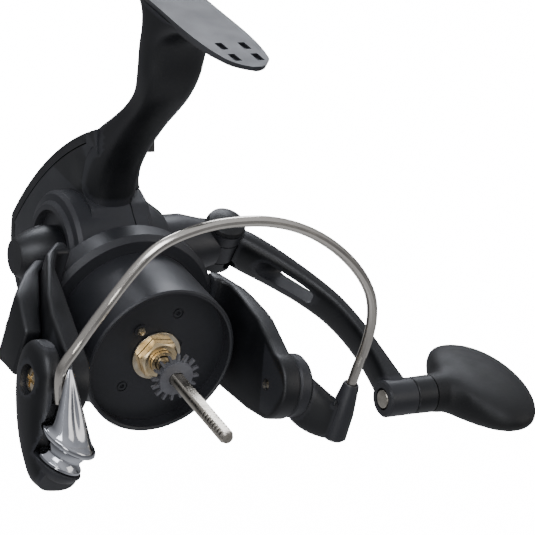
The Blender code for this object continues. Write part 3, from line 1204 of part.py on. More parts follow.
body_housing(reel)
side_cover(reel)
rear_cover(reel)
anti_reverse_lever(reel)
drive_train(reel, crank_axis)
pinion_gear(rotor_axis)
shaft_group(reel)
rotor(rotor_axis)
arm_covers(rotor_axis)
nut_and_washer(rotor_axis)
front_bearings(reel, rotor_axis)
seat = bail_arm(bail_axis)
fairing_made, _ = roller_group(bail_axis, seat)
wire_curve("bail_wire", WIRE_R, bail_axis, STEEL, smooth_run(wire_points(), 2))
groove_run = [p for p in smooth_run(wire_points(), 2)[:8]]
groove_run[0] = groove_run[0] - Vector((0, 0, 1.0))
cut(fairing_made, mesh_from_curve(wire_curve("wire_groove", WIRE_R + 0.25, bail_axis, BLACK, groove_run)))
bail_holder(bail_axis)
pivot_screws(rotor_axis)
handle_shank(crank_axis)
handle_arm(fold_axis)
fold_pin(crank_axis, fold_axis)
knob_group(fold_axis, knob_axis)
handle_cap(crank_axis)
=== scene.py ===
"""Looks of a spinning reel whose spool is taken off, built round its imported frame.

Sizes are in millimetres in the reel's own frame: the shaft's axis is the Y axis, -Y is where
the line leaves, +X is the handle's side. Empties carry that frame into the row frame.
"""

import json
import math

import bmesh
import bpy
from mathutils import Matrix, Vector

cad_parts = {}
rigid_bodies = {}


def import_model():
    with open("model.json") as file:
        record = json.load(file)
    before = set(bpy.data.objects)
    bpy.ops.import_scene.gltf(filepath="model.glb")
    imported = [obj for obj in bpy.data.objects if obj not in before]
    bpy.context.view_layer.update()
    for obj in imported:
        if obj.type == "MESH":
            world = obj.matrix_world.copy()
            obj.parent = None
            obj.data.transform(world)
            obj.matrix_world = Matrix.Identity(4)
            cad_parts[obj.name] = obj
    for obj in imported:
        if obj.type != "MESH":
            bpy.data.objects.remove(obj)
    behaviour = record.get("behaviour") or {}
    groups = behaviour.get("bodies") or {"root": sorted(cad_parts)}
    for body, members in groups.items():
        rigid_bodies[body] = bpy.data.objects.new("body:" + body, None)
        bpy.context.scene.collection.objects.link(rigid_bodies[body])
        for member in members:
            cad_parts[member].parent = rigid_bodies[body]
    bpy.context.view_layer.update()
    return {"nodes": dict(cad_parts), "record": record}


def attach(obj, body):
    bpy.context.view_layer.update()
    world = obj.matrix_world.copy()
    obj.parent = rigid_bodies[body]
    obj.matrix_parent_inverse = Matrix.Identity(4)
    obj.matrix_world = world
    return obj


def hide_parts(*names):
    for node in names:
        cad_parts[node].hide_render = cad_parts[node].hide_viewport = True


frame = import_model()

FINE = 3                       # how many times finer the rounds are than the frame's
PARTS = CUTTERS = bpy.context.scene.collection


# --- Materials ----------------------------------------------------------------------------

def colour(code, alpha=1.0):
    """A screen colour such as c0c0c0 as linear values."""
    made = []
    for i in (0, 2, 4):
        part = int(code[i:i + 2], 16) / 255
        made.append(part / 12.92 if part <= 0.04045 else ((part + 0.055) / 1.055) ** 2.4)
    return (*made, alpha)


def add(tree, kind, links=None, **settings):
    """A node with its settings; links gives a socket the output or the value that feeds it."""
    node = tree.nodes.new("ShaderNode" + kind)
    for key, value in settings.items():
        setattr(node, key, value)
    for socket, source in (links or {}).items():
        if isinstance(source, bpy.types.NodeSocket):
            tree.links.new(source, node.inputs[socket])
        else:
            node.inputs[socket].default_value = source
    return node


def surface(name, **values):
    """A material with its Principled shader, its tree and the piece's own coordinates."""
    made = bpy.data.materials.new(name)
    made.use_nodes = True
    tree = made.node_tree
    shader = tree.nodes["Principled BSDF"]
    for key, value in values.items():
        shader.inputs[key.replace("_", " ")].default_value = value
    where = add(tree, "TexCoord").outputs["Object"]
    return made, tree, shader, where


def grain(tree, where, size, detail=2.0, stretch=None):
    """Noise whose lumps are size mm across, pulled out along the axes that stretch names."""
    if stretch:
        where = add(tree, "Mapping", {"Vector": where, "Scale": stretch}).outputs["Vector"]
    return add(tree, "TexNoise", {"Vector": where, "Scale": 1000 / size, "Detail": detail}).outputs["Fac"]


def spread(tree, source, low, high, start=0.3, end=0.7):
    """The source's range from start to end, mapped to low to high."""
    links = {"Value": source, "From Min": start, "From Max": end, "To Min": low, "To Max": high}
    return add(tree, "MapRange", links).outputs["Result"]


def blend_colours(tree, share, first, second):
    links = {0: share, 6: first, 7: second}
    return add(tree, "Mix", links, data_type="RGBA").outputs[2]


def dent(tree, shader, height, strength, distance):
    links = {"Height": height, "Strength": strength, "Distance": distance * 0.001}
    tree.links.new(add(tree, "Bump", links).outputs["Normal"], shader.inputs["Normal"])


def moulded_nylon(name, base, lift, rough=0.42):
    """Glass-filled nylon from an etched mould: a fine pebble that breaks up each highlight."""
    made, tree, shader, where = surface(name, IOR=1.53, Specular_IOR_Level=0.5)
    pebble = grain(tree, where, 0.32, 3.0)
    cloud = grain(tree, where, 9.0, 2.0)
    speck = grain(tree, where, 0.12, 1.0)
    tone = blend_colours(tree, spread(tree, cloud, 0.0, 0.55), colour(base), colour(lift))
    tone = blend_colours(tree, spread(tree, speck, 0.0, 0.35, 0.55, 0.75), tone, colour(lift))
    # Convex edges lightened towards 36373b: partly a painted edge highlight, partly edge wear
    edge_highlight_and_wear = add(tree, "NewGeometry").outputs["Pointiness"]
    tone = blend_colours(tree, spread(tree, edge_highlight_and_wear, 0.0, 0.5, 0.53, 0.60), tone, colour("36373b"))
    tree.links.new(tone, shader.inputs["Base Color"])
    tree.links.new(spread(tree, cloud, rough - 0.05, rough + 0.07), shader.inputs["Roughness"])
    dent(tree, shader, pebble, 0.32, 0.06)
    return made


def soft_touch_paint(name, base, lift):
    """Rubbery paint on the knob: matt, with pale dust specks that make it look dry."""
    made, tree, shader, where = surface(name, IOR=1.49, Sheen_Weight=0.03, Sheen_Roughness=0.5)
    speck = grain(tree, where, 0.2, 2.0)
    cloud = grain(tree, where, 6.0, 3.0)
    tone = blend_colours(tree, spread(tree, cloud, 0.0, 0.6), colour(base), colour(lift))
    tone = blend_colours(tree, spread(tree, speck, 0.0, 0.8, 0.66, 0.76), tone, colour("3a3a3d"))
    tree.links.new(tone, shader.inputs["Base Color"])
    tree.links.new(spread(tree, cloud, 0.50, 0.62), shader.inputs["Roughness"])
    dent(tree, shader, speck, 0.25, 0.05)
    return made


def polished_chrome(name, tint="d9dadd", rough=0.07):
    """Hard chrome: mirror-like, with finger smears that dull it in patches."""
    made, tree, shader, where = surface(name, Metallic=1.0)
    smear = grain(tree, where, 5.0, 4.0, (1.0, 1.0, 2.5))
    fine = grain(tree, where, 0.5, 2.0)
    tree.links.new(blend_colours(tree, spread(tree, smear, 0, 1), colour(tint), colour("c3c5ca")),
                   shader.inputs["Base Color"])
    tree.links.new(spread(tree, smear, rough, rough + 0.10), shader.inputs["Roughness"])
    dent(tree, shader, fine, 0.04, 0.02)
    return made


def drawn_wire(name, tint="eae4da", dark="c2bcb0"):
    """Drawn stainless wire: warm grey, with hair-fine scratches along its run."""
    made, tree, shader, where = surface(name, Metallic=1.0)
    scratch = grain(tree, where, 0.35, 3.0, (1.0, 6.0, 1.0))
    cloud = grain(tree, where, 7.0, 2.0)
    tone = blend_colours(tree, spread(tree, scratch, 0.0, 0.45), colour(tint), colour(dark))
    tree.links.new(tone, shader.inputs["Base Color"])
    tree.links.new(spread(tree, cloud, 0.14, 0.27), shader.inputs["Roughness"])
    dent(tree, shader, scratch, 0.12, 0.02)
    return made


def milled_steel(name, tint="bdb7ab", dark="8a857a"):
    """Ground shaft steel: fine rings from the lathe and a few dark scores."""
    made, tree, shader, where = surface(name, Metallic=1.0)
    rings = grain(tree, where, 0.3, 3.0, (0.1, 1.0, 0.1))
    score = grain(tree, where, 1.1, 4.0, (1.0, 0.25, 1.0))
    tone = blend_colours(tree, spread(tree, score, 0.0, 0.5, 0.45, 0.7), colour(tint), colour(dark))
    tree.links.new(tone, shader.inputs["Base Color"])
    tree.links.new(spread(tree, rings, 0.2, 0.36), shader.inputs["Roughness"])
    dent(tree, shader, rings, 0.2, 0.02)
    return made


def turned_brass(name, tint="f6e3bf", dark="d8bd8c"):
    """Machined brass: close rings from the lathe, a little tarnish between them."""
    made, tree, shader, where = surface(name, Metallic=1.0)
    middle = add(tree, "Mapping", {"Vector": where, "Location": (0, 0, 0.086)}).outputs["Vector"]
    links = {"Vector": middle, "Scale": 900.0, "Distortion": 0.6, "Detail": 2.0}
    rings = add(tree, "TexWave", links, wave_type="RINGS", rings_direction="Y").outputs["Fac"]
    cloud = grain(tree, where, 3.0, 3.0)
    tone = blend_colours(tree, spread(tree, cloud, 0.0, 1.0), colour(tint), colour(dark))
    tree.links.new(tone, shader.inputs["Base Color"])
    tree.links.new(spread(tree, cloud, 0.2, 0.34), shader.inputs["Roughness"])
    dent(tree, shader, rings, 0.15, 0.02)
    return made


def nickel_plate(name, tint="f0e4cc", dark="c9b898"):
    """Nickel plate on screws and washers: warm and bright, dulled where a driver has been."""
    made, tree, shader, where = surface(name, Metallic=1.0)
    cloud = grain(tree, where, 1.6, 4.0)
    fine = grain(tree, where, 0.15, 2.0)
    tree.links.new(blend_colours(tree, spread(tree, cloud, 0.0, 0.8), colour(tint), colour(dark)),
                   shader.inputs["Base Color"])
    tree.links.new(spread(tree, cloud, 0.13, 0.30), shader.inputs["Roughness"])
    dent(tree, shader, fine, 0.1, 0.02)
    return made


def zinc_casting(name, tint, dark, metal=0.75):
    """Die-cast zinc under a thin grey coat: satin, faintly orange-peeled."""
    made, tree, shader, where = surface(name, Metallic=metal)
    peel = grain(tree, where, 0.45, 3.0)
    cloud = grain(tree, where, 4.0, 2.0)
    tree.links.new(blend_colours(tree, spread(tree, cloud, 0.0, 1.0), colour(tint), colour(dark)),
                   shader.inputs["Base Color"])
    tree.links.new(spread(tree, cloud, 0.38, 0.50), shader.inputs["Roughness"])
    dent(tree, shader, peel, 0.25, 0.04)
    return made


def moulded_acetal(name):
    """White acetal gear: waxy, with faint flow marks."""
    made, tree, shader, where = surface(name, IOR=1.48)
    flow = grain(tree, where, 3.0, 3.0, (1.0, 3.0, 1.0))
    tree.links.new(blend_colours(tree, spread(tree, flow, 0.0, 1.0), colour("dcdcd6"), colour("c9c9c0")),
                   shader.inputs["Base Color"])
    tree.links.new(spread(tree, flow, 0.3, 0.42), shader.inputs["Roughness"])
    dent(tree, shader, flow, 0.1, 0.05)
    return made


BLACK = moulded_nylon("moulded_nylon", "0b0c0e", "141518")
SOFT = soft_touch_paint("soft_touch_paint", "060607", "0d0d0e")
CHROME = polished_chrome("polished_chrome")
WIRE = drawn_wire("drawn_wire")
STEEL = milled_steel("milled_steel")
NICKEL = nickel_plate("nickel_plate")
BRASS = turned_brass("turned_brass")
ZINC = zinc_casting("zinc_as_cast", "a3a4a8", "7f8085")
GREY = zinc_casting("grey_zinc", "86868a", "6a6a6e", 0.5)
ACETAL = moulded_acetal("moulded_acetal")


# --- Sizes --------------------------------------------------------------------------------

MM = 0.001
GAP = 0.3                      # clearance between pieces that touch

# Main axes, from the centre of the hub's front rim on the shaft axis
FOOT_HEIGHT = 86.0             # shaft axis to the foot's top face
FOOT_LENGTH = 68.0
FOOT_WIDTH = 15.0
FOOT_THICK = 3.4
FOOT_CENTRE_Y = 15.1           # behind the hub's front rim
CRANK_Y = 40.0
CRANK_Z = 10.1
CRANK_REST = 20.0              # degrees the handle arm points below level
ROTOR_REST = 8.0               # degrees the rotor has turned from level

# Body
CASE_HALF = 8.0                # from the middle plane to either side of the case
WALL = 1.4
COVER_SPLIT = 3.0              # x of the face between housing and side cover
COVER_TOP = 27.4
DRUM_R = 16.2                  # round part of the case over the drive gear
REAR_COVER_THICK = 2.4
REAR_COVER_WIDTH = 16.0
FLANGE_R = 21.9
FLANGE_FRONT = 22.0
CASE_FRONT = 27.2
NECK_R = 14.5
NECK_FRONT = 9.8
LEFT_RIM = -14.4               # outer face of the ring round the cap
CAP_SEAT = -12.4
RIGHT_BOSS = 15.2

# Rotor
HUB_R = 19.8
HUB_WALL = 1.8
HUB_LIP = 1.1
HUB_RECESS = 3.8
FLOOR_THICK = 1.6
WEB_Y = 20.0
SKIRT_R = 24.3
SKIRT_WALL = 1.8
SKIRT_REAR = 26.2
ARM_INNER = (28.8, 24.7)       # left arm, right arm
ARM_OUTER = (34.0, 29.7)
PIVOT_Y = -10.0
PIVOT_R = 8.5

# Shaft, pinion and gears
SHAFT_R = 1.8
SHAFT_FLATS = 2.9
SHAFT_TIP = -35.6
SHAFT_REAR = 64.0
THREAD_LENGTH = 10.0
PINION_TEETH = 8
PINION_R = 3.97
PINION_TUBE_R = 3.0
PINION_BORE_R = 2.1
PINION_FRONT = -0.4
PINION_REAR = 38.6
MESH_Y = 30.23                 # where drive gear and pinion meet
DRIVE_TEETH = 40
DRIVE_R = 15.1
DRIVE_FACE = 2.4               # width of the tooth ring
TOOTH_HEIGHT = 1.2
DISC_THICK = 1.8
DRIVE_FACE_X = 4.9             # root plane of the face teeth
AXLE_R = 4.4
JOURNAL_R = 3.6
BEARING_R = 6.5
BEARING_WIDTH = 2.8
SPUR_MODULE = 0.9
SPUR_TEETH = 12
OSCILLATION_TEETH = 24
SPUR_X = -6.7
SPUR_WIDTH = 2.2
CRANK_PIN_R = 7.5              # eccentric of the oscillation gear

# Nut, washer and click gear
NUT_R = 5.4
NUT_FRONT = 0.5
NUT_BACK = 2.8
WASHER_R = 6.5
CLICK_Y = -7.2
CLICK_R = 6.3
CLICK_TEETH = 16

# Handle
SHANK_R = 8.2
SHANK_END_R = 6.2
SHANK_START = 15.5
SHANK_END = 31.4
ROD_SIDE = 3.4
HINGE_X = 34.2
KNUCKLE_R = 5.4
TONGUE_HALF = 3.0
ARM_LENGTH = 57.2
ARM_END_X = 62.0
ARM_BOSS_R = 4.8
ARM_BOSS_HALF = 4.0
AXLE_KNOB_R = 1.9
COLLAR_END = 72.2
KNOB_CENTRE = 88.4
KNOB_HALF = (11.2, 19.7, 5.9)
CAP_END = -24.1
CAP_R = 4.9
CAP_ROOT_R = 7.7
CAP_ROOT = -16.4

# Bail, seen from the pivot axis
ROLLER_AT = (-34.6, -14.5, -11.2)
ROLLER_TILT = 15.0             # degrees its axis leans inwards
ROLLER_R = 5.4
ROLLER_WAIST = 4.2
ROLLER_LENGTH = 4.6
ROLLER_BORE = 2.0
FAIRING_R = 6.3
WIRE_R = 1.3
WIRE_PLANE = -9.0
SOCKET_X = 43.0
SOCKET_TOP = 6.0
SOCKET_LOW = -9.6


def arc(centre, radius, start, end, steps):
    """Points on a circle from one angle to another, in degrees."""
    points = []
    steps *= FINE
    for i in range(steps + 1):
        angle = math.radians(start + (end - start) * i / steps)
        points.append((centre[0] + radius * math.cos(angle), centre[1] + radius * math.sin(angle)))
    return points


def circle_through(a, b, c):
    """Centre and radius of the circle through three points."""
    (ax, ay), (bx, by), (cx, cy) = a, b, c
    d = 2 * (ax * (by - cy) + bx * (cy - ay) + cx * (ay - by))
    a2, b2, c2 = ax * ax + ay * ay, bx * bx + by * by, cx * cx + cy * cy
    x = (a2 * (by - cy) + b2 * (cy - ay) + c2 * (ay - by)) / d
    y = (a2 * (cx - bx) + b2 * (ax - cx) + c2 * (bx - ax)) / d
    return (x, y), math.hypot(ax - x, ay - y)


def arc_between(circle, inset, start, end, steps):
    """The stretch of a circle, moved in by inset, that faces from start to end."""
    centre, radius = circle
    first = math.degrees(math.atan2(start[1] - centre[1], start[0] - centre[0]))
    last = math.degrees(math.atan2(end[1] - centre[1], end[0] - centre[0]))
    if last - first > 180:
        last -= 360
    if first - last > 180:
        first -= 360
    return arc(centre, radius - inset, first, last, steps)


def rounded(corners, steps=5):
    """An outline whose corners (u, v, radius) are rounded."""
    steps *= 2
    points = []
    count = len(corners)
    for i, (u, v, radius) in enumerate(corners):
        here = Vector((u, v))
        before = Vector(corners[i - 1][:2]) - here
        after = Vector(corners[(i + 1) % count][:2]) - here
        if radius <= 0:
            points.append((u, v))
            continue
        half = before.angle(after) / 2
        reach = min(radius / math.tan(half), 0.49 * before.length, 0.49 * after.length)
        size = reach * math.tan(half)
        middle = here + (before.normalized() + after.normalized()).normalized() * size / math.sin(half)
        first = here + before.normalized() * reach - middle
        turn = first.angle_signed(here + after.normalized() * reach - middle)
        for step in range(steps + 1):
            angle = -turn * step / steps
            points.append(tuple(middle + Matrix.Rotation(angle, 2) @ first))
    return points


def axis_empty(name, parent, at=(0, 0, 0), turn=(0, 0, 0)):
    """An empty that marks a joint's axis or a datum; at in mm, turn in degrees."""
    made = bpy.data.objects.new(name, None)
    made.empty_display_size = 5 * MM
    PARTS.objects.link(made)
    made.parent = parent
    made.location = Vector(at) * MM
    made.rotation_euler = [math.radians(angle) for angle in turn]
    return made


def place(name, data, parent, look, at=(0, 0, 0), turn=(0, 0, 0)):
    """Puts a mesh or curve in the scene; without a look it is a cutter."""
    made = bpy.data.objects.new(name, data)
    (PARTS if look else CUTTERS).objects.link(made)
    made.parent = parent
    made.location = Vector(at) * MM
    made.rotation_euler = [math.radians(angle) for angle in turn]
    if look:
        data.materials.append(look)
    else:
        made.hide_render = True
        made.display_type = "WIRE"
    return made


def tidy(mesh, matrix=None):
    """Welds a mesh, turns its faces out and shades its round parts smooth."""
    work = bmesh.new()
    work.from_mesh(mesh)
    bmesh.ops.remove_doubles(work, verts=work.verts, dist=1e-6)
    bmesh.ops.recalc_face_normals(work, faces=work.faces)
    work.to_mesh(mesh)
    work.free()
    if matrix:
        mesh.transform(matrix)
    mesh.shade_smooth()
    mesh.set_sharp_from_angle(angle=math.radians(35))
    return mesh


ALONG = {
    "X": Matrix(((0, 0, 1, 0), (1, 0, 0, 0), (0, 1, 0, 0), (0, 0, 0, 1))),
    "Y": Matrix(((1, 0, 0, 0), (0, 0, -1, 0), (0, 1, 0, 0), (0, 0, 0, 1))),
    "Z": Matrix.Identity(4),
}
TURNED = {"X": (0, 90, 0), "Y": (-90, 0, 0), "Z": (0, 0, 0)}


def plate(name, outlines, low, high, along, parent, look=None, at=(0, 0, 0), turn=(0, 0, 0)):
    """A flat outline, with holes, as a plate from low to high along an axis.

    The outline is (y, z) along X, (x, z) along Y and (x, y) along Z.
    """
    if not isinstance(outlines[0][0], (tuple, list)):
        outlines = [outlines]
    curve = bpy.data.curves.new(name, "CURVE")
    curve.dimensions = "2D"
    curve.fill_mode = "BOTH"
    curve.extrude = (high - low) / 2 * MM
    for outline in outlines:
        spline = curve.splines.new("POLY")
        spline.points.add(len(outline) - 1)
        for point, (u, v) in zip(spline.points, outline):
            point.co = (u * MM, v * MM, 0, 1)
        spline.use_cyclic_u = True
    sketch = bpy.data.objects.new(name + "_sketch", curve)
    CUTTERS.objects.link(sketch)
    graph = bpy.context.evaluated_depsgraph_get()
    mesh = bpy.data.meshes.new_from_object(sketch.evaluated_get(graph))
    bpy.data.objects.remove(sketch)
    bpy.data.curves.remove(curve)
    middle = (low + high) / 2 * MM * (-1 if along == "Y" else 1)
    tidy(mesh, ALONG[along] @ Matrix.Translation((0, 0, middle)))
    mesh.name = name
    return place(name, mesh, parent, look, at, turn)


def turned(name, profile, along, parent, look=None, at=(0, 0, 0), sides=28, ring=False, turn=None):
    """A turned piece. The profile is (radius, height), its outer side from low to high."""
    mesh = bpy.data.meshes.new(name)
    points = [(r * MM, 0, h * MM) for r, h in reversed(profile)]
    edges = [(i, i + 1) for i in range(len(points) - 1)]
    if ring:
        edges.append((len(points) - 1, 0))
    mesh.from_pydata(points, edges, [])
    made = place(name, mesh, parent, look, at, turn or TURNED[along])
    screw = made.modifiers.new("turn", "SCREW")
    screw.steps = sides * FINE
    screw.render_steps = sides * FINE
    screw.use_merge_vertices = True
    screw.merge_threshold = 1e-5
    screw.use_smooth_shade = True
    return made


def rod(name, radius, low, high, along, parent, look=None, at=(0, 0, 0), sides=18, turn=None):
    profile = [(0, low), (radius, low), (radius, high), (0, high)]
    return turned(name, profile, along, parent, look, at, sides, turn=turn)


def tube(name, inner, outer, low, high, along, parent, look=None, at=(0, 0, 0), sides=24, turn=None):
    profile = [(outer, low), (outer, high), (inner, high), (inner, low)]
    return turned(name, profile, along, parent, look, at, sides, ring=True, turn=turn)


def block(name, low, high, parent, look=None, at=(0, 0, 0), turn=(0, 0, 0)):
    work = bmesh.new()
    bmesh.ops.create_cube(work, size=1.0)
    size = Vector(high) - Vector(low)
    centre = (Vector(high) + Vector(low)) / 2
    for vert in work.verts:
        vert.co = Vector(c * s + m for c, s, m in zip(vert.co, size, centre)) * MM
    mesh = bpy.data.meshes.new(name)
    work.to_mesh(mesh)
    work.free()
    return place(name, mesh, parent, look, at, turn)


def section(centre, u, v, half_u, half_v, count=16, power=2.4):
    """One superelliptic ring of a loft, in the plane of the unit vectors u and v."""
    ring = []
    count *= 2
    for i in range(count):
        angle = 2 * math.pi * i / count
        c, s = math.cos(angle), math.sin(angle)
        a = math.copysign(abs(c) ** (2 / power), c) * half_u
        b = math.copysign(abs(s) ** (2 / power), s) * half_v
        ring.append(Vector(centre) + Vector(u) * a + Vector(v) * b)
    return ring


def smooth_rings(rings, steps=4):
    """More rings in between, each point on a smooth curve through its stations."""
    if len(rings) < 3:
        return rings
    count = len(rings)
    middles = [sum(ring, Vector()) / len(ring) for ring in rings]
    spans = [max((b - a).length, 0.05) + max((q - p).length for p, q in zip(ra, rb)) * 0.5
             for a, b, ra, rb in zip(middles, middles[1:], rings, rings[1:])]
    made = []
    for i in range(count - 1):
        low, high = max(i - 1, 0), min(i + 2, count - 1)
        before = spans[i] + (spans[i - 1] if i else 0)
        after = spans[i] + (spans[i + 1] if i + 2 < count else 0)
        for step in range(steps):
            t = step / steps
            a, b = 2 * t ** 3 - 3 * t * t + 1, t ** 3 - 2 * t * t + t
            c, d = 3 * t * t - 2 * t ** 3, t ** 3 - t * t
            made.append([
                rings[i][k] * a + (rings[i + 1][k] - rings[low][k]) * (b * spans[i] / before)
                + rings[i + 1][k] * c + (rings[high][k] - rings[i][k]) * (d * spans[i] / after)
                for k in range(len(rings[i]))
            ])
    return made + [rings[-1]]


def loft(name, rings, parent, look=None, at=(0, 0, 0), turn=(0, 0, 0), closed_loop=False):
    """A skin over rings of equal count, with closed ends."""
    work = bmesh.new()
    rings = smooth_rings(rings)
    rows = [[work.verts.new(point * MM) for point in ring] for ring in rings]
    count = len(rows[0])
    for first, second in zip(rows, rows[1:]):
        for i in range(count):
            j = (i + 1) % count
            work.faces.new((first[i], first[j], second[j], second[i]))
    for row, ring in ((rows[0], rings[0]), (rows[-1], rings[-1])):
        middle = work.verts.new(sum(ring, Vector()) / count * MM)
        for i in range(count):
            work.faces.new((row[i], row[(i + 1) % count], middle))
    mesh = bpy.data.meshes.new(name)
    work.to_mesh(mesh)
    work.free()
    tidy(mesh)
    return place(name, mesh, parent, look, at, turn)


def boolean(body, tool, operation):
    made = body.modifiers.new(tool.name, "BOOLEAN")
    made.operation = operation
    made.object = tool


def cut(body, *tools):
    for tool in tools:
        boolean(body, tool, "DIFFERENCE")


def join(body, *tools):
    for tool in tools:
        boolean(body, tool, "UNION")


def keep(body, tool):
    boolean(body, tool, "INTERSECT")


def round_edges(body, width, segments=2, angle=40):
    made = body.modifiers.new("rounded edges", "BEVEL")
    made.width = width * MM
    made.segments = segments + 2
    made.limit_method = "ANGLE"
    made.angle_limit = math.radians(angle)
    made.use_clamp_overlap = True


def circle(radius, count, at=(0, 0)):
    steps = count * FINE
    return [(at[0] + radius * math.cos(2 * math.pi * i / steps),
             at[1] + radius * math.sin(2 * math.pi * i / steps))
            for i in range(steps)]


def gear_outline(teeth, root, tip, share, at=(0, 0), phase=0.0):
    """A spur gear's outline; share is the part of the pitch that a tooth takes at its middle."""
    points = []
    pitch = 360 / teeth
    for i in range(teeth):
        middle = phase + i * pitch
        spread = ((root, 0.62), (tip, 0.30), (tip, -0.30), (root, -0.62))
        for radius, side in spread:
            angle = math.radians(middle - side * share * pitch)
            points.append((at[0] + radius * math.cos(angle), at[1] + radius * math.sin(angle)))
    return points


def screw_head(name, radius, height, depth, parent, at, turn, look, shank=0.0, shank_r=0.0, sides=14):
    """A cross-recessed pan-head screw along its own +Z, its head's seat at z = 0."""
    profile = [(0, -shank), (shank_r, -shank), (shank_r, 0.0)] if shank else [(0, 0.0)]
    profile += [(radius, 0.0), (radius * 0.86, height * 0.7), (0, height)]
    made = turned(name, profile, "Z", parent, look, at, sides, turn=turn)
    if depth:
        for i, angle in enumerate((0, 90)):
            long, wide = radius * 0.6, radius * 0.14
            slot = block(f"{name}_slot_{i + 1}", (-long, -wide, height - depth), (long, wide, height + 1),
                         made)
            slot.rotation_euler = (0, 0, math.radians(angle))
            cut(made, slot)
    return made


# --- Body ---------------------------------------------------------------------------------

SPINE_TOP = ((34.0, 47.7), (60.0, 27.9), (78.8, 2.0))
BOTTOM_BACK = ((78.8, 2.0), (73.0, -12.5), (54.0, -20.5))
SEAM_AT = (43.0, 41.9)
CASE_LOW = -20.5


def case_outline(low=CASE_LOW):
    """Side view of the case in (y, z): over its top to the seam, then inside the rear cover."""
    inset = REAR_COVER_THICK + GAP
    upper, lower = circle_through(*SPINE_TOP), circle_through(*BOTTOM_BACK)
    points = rounded([(CASE_FRONT, 20.0, 0), (34.0, 26.0, 4), (40.8, 28.0, 3), (40.6, 36.0, 4),
                      (36.4, 44.0, 3)])
    points += arc_between(upper, 0, (37.0, 46.0), SEAM_AT, 2)
    points += arc_between(upper, inset, SEAM_AT, SPINE_TOP[2], 10)
    points += arc_between(lower, inset, BOTTOM_BACK[0], BOTTOM_BACK[2], 6)[1:]
    return points + [(CASE_FRONT + 5, low + inset), (CASE_FRONT, low + inset + 4)]


def cavity_outline():
    inset = REAR_COVER_THICK + GAP + WALL
    upper, lower = circle_through(*SPINE_TOP), circle_through(*BOTTOM_BACK)
    points = arc_between(upper, inset, (62.0, 26.0), SPINE_TOP[2], 7)
    points += arc_between(lower, inset, BOTTOM_BACK[0], BOTTOM_BACK[2], 6)[1:]
    low = points[-1][1]
    return [(CASE_FRONT + 1.7, 18.0), (34.0, points[0][1])] + points + [(CASE_FRONT + 1.7, low)]


def case_solid(name, datum, look):
    """Case without its hollow: the flat spine and the stepped drum round the crank axis."""
    made = plate(name, case_outline(), -CASE_HALF, CASE_HALF, "X", datum, look)
    round_edges(made, 2.0, 2)
    profile = [
        (0, CAP_SEAT), (10.8, CAP_SEAT), (11.4, LEFT_RIM), (12.8, LEFT_RIM), (13.7, -13.4), (15.4, -13.0),
        (DRUM_R, -12.0), (DRUM_R, 6.9), (14.3, 8.5), (12.9, 9.2), (12.5, 12.0), (10.2, RIGHT_BOSS), (0,
                RIGHT_BOSS),
    ]
    join(made, turned(name + "_drum", profile, "X", datum, None, (0, CRANK_Y, CRANK_Z), 28))
    return made


def rear_cover_room(name, datum):
    """All that lies outside the inner face of the rear cover, from the seam round to the base."""
    upper, lower = circle_through(*SPINE_TOP), circle_through(*BOTTOM_BACK)
    inset = REAR_COVER_THICK + GAP
    before_seam = (SEAM_AT[0] - 0.25, SEAM_AT[1] + 0.2)
    strips = []
    for depth in (-8.0, inset):
        strip = arc_between(upper, depth, before_seam, SPINE_TOP[2], 9)
        strips.append(strip + arc_between(lower, depth, BOTTOM_BACK[0], BOTTOM_BACK[2], 6)[1:])
    return plate(name, strips[0] + strips[1][::-1], -20, 20, "X", datum)


def case_hollow(name, datum):
    made = plate(name, cavity_outline(), -7.1, CASE_HALF - WALL, "X", datum)
    join(made, rod(name + "_drum", DRUM_R - 0.75, -7.4, 7.0, "X", datum, None, (0, CRANK_Y, CRANK_Z), 28))
    return made


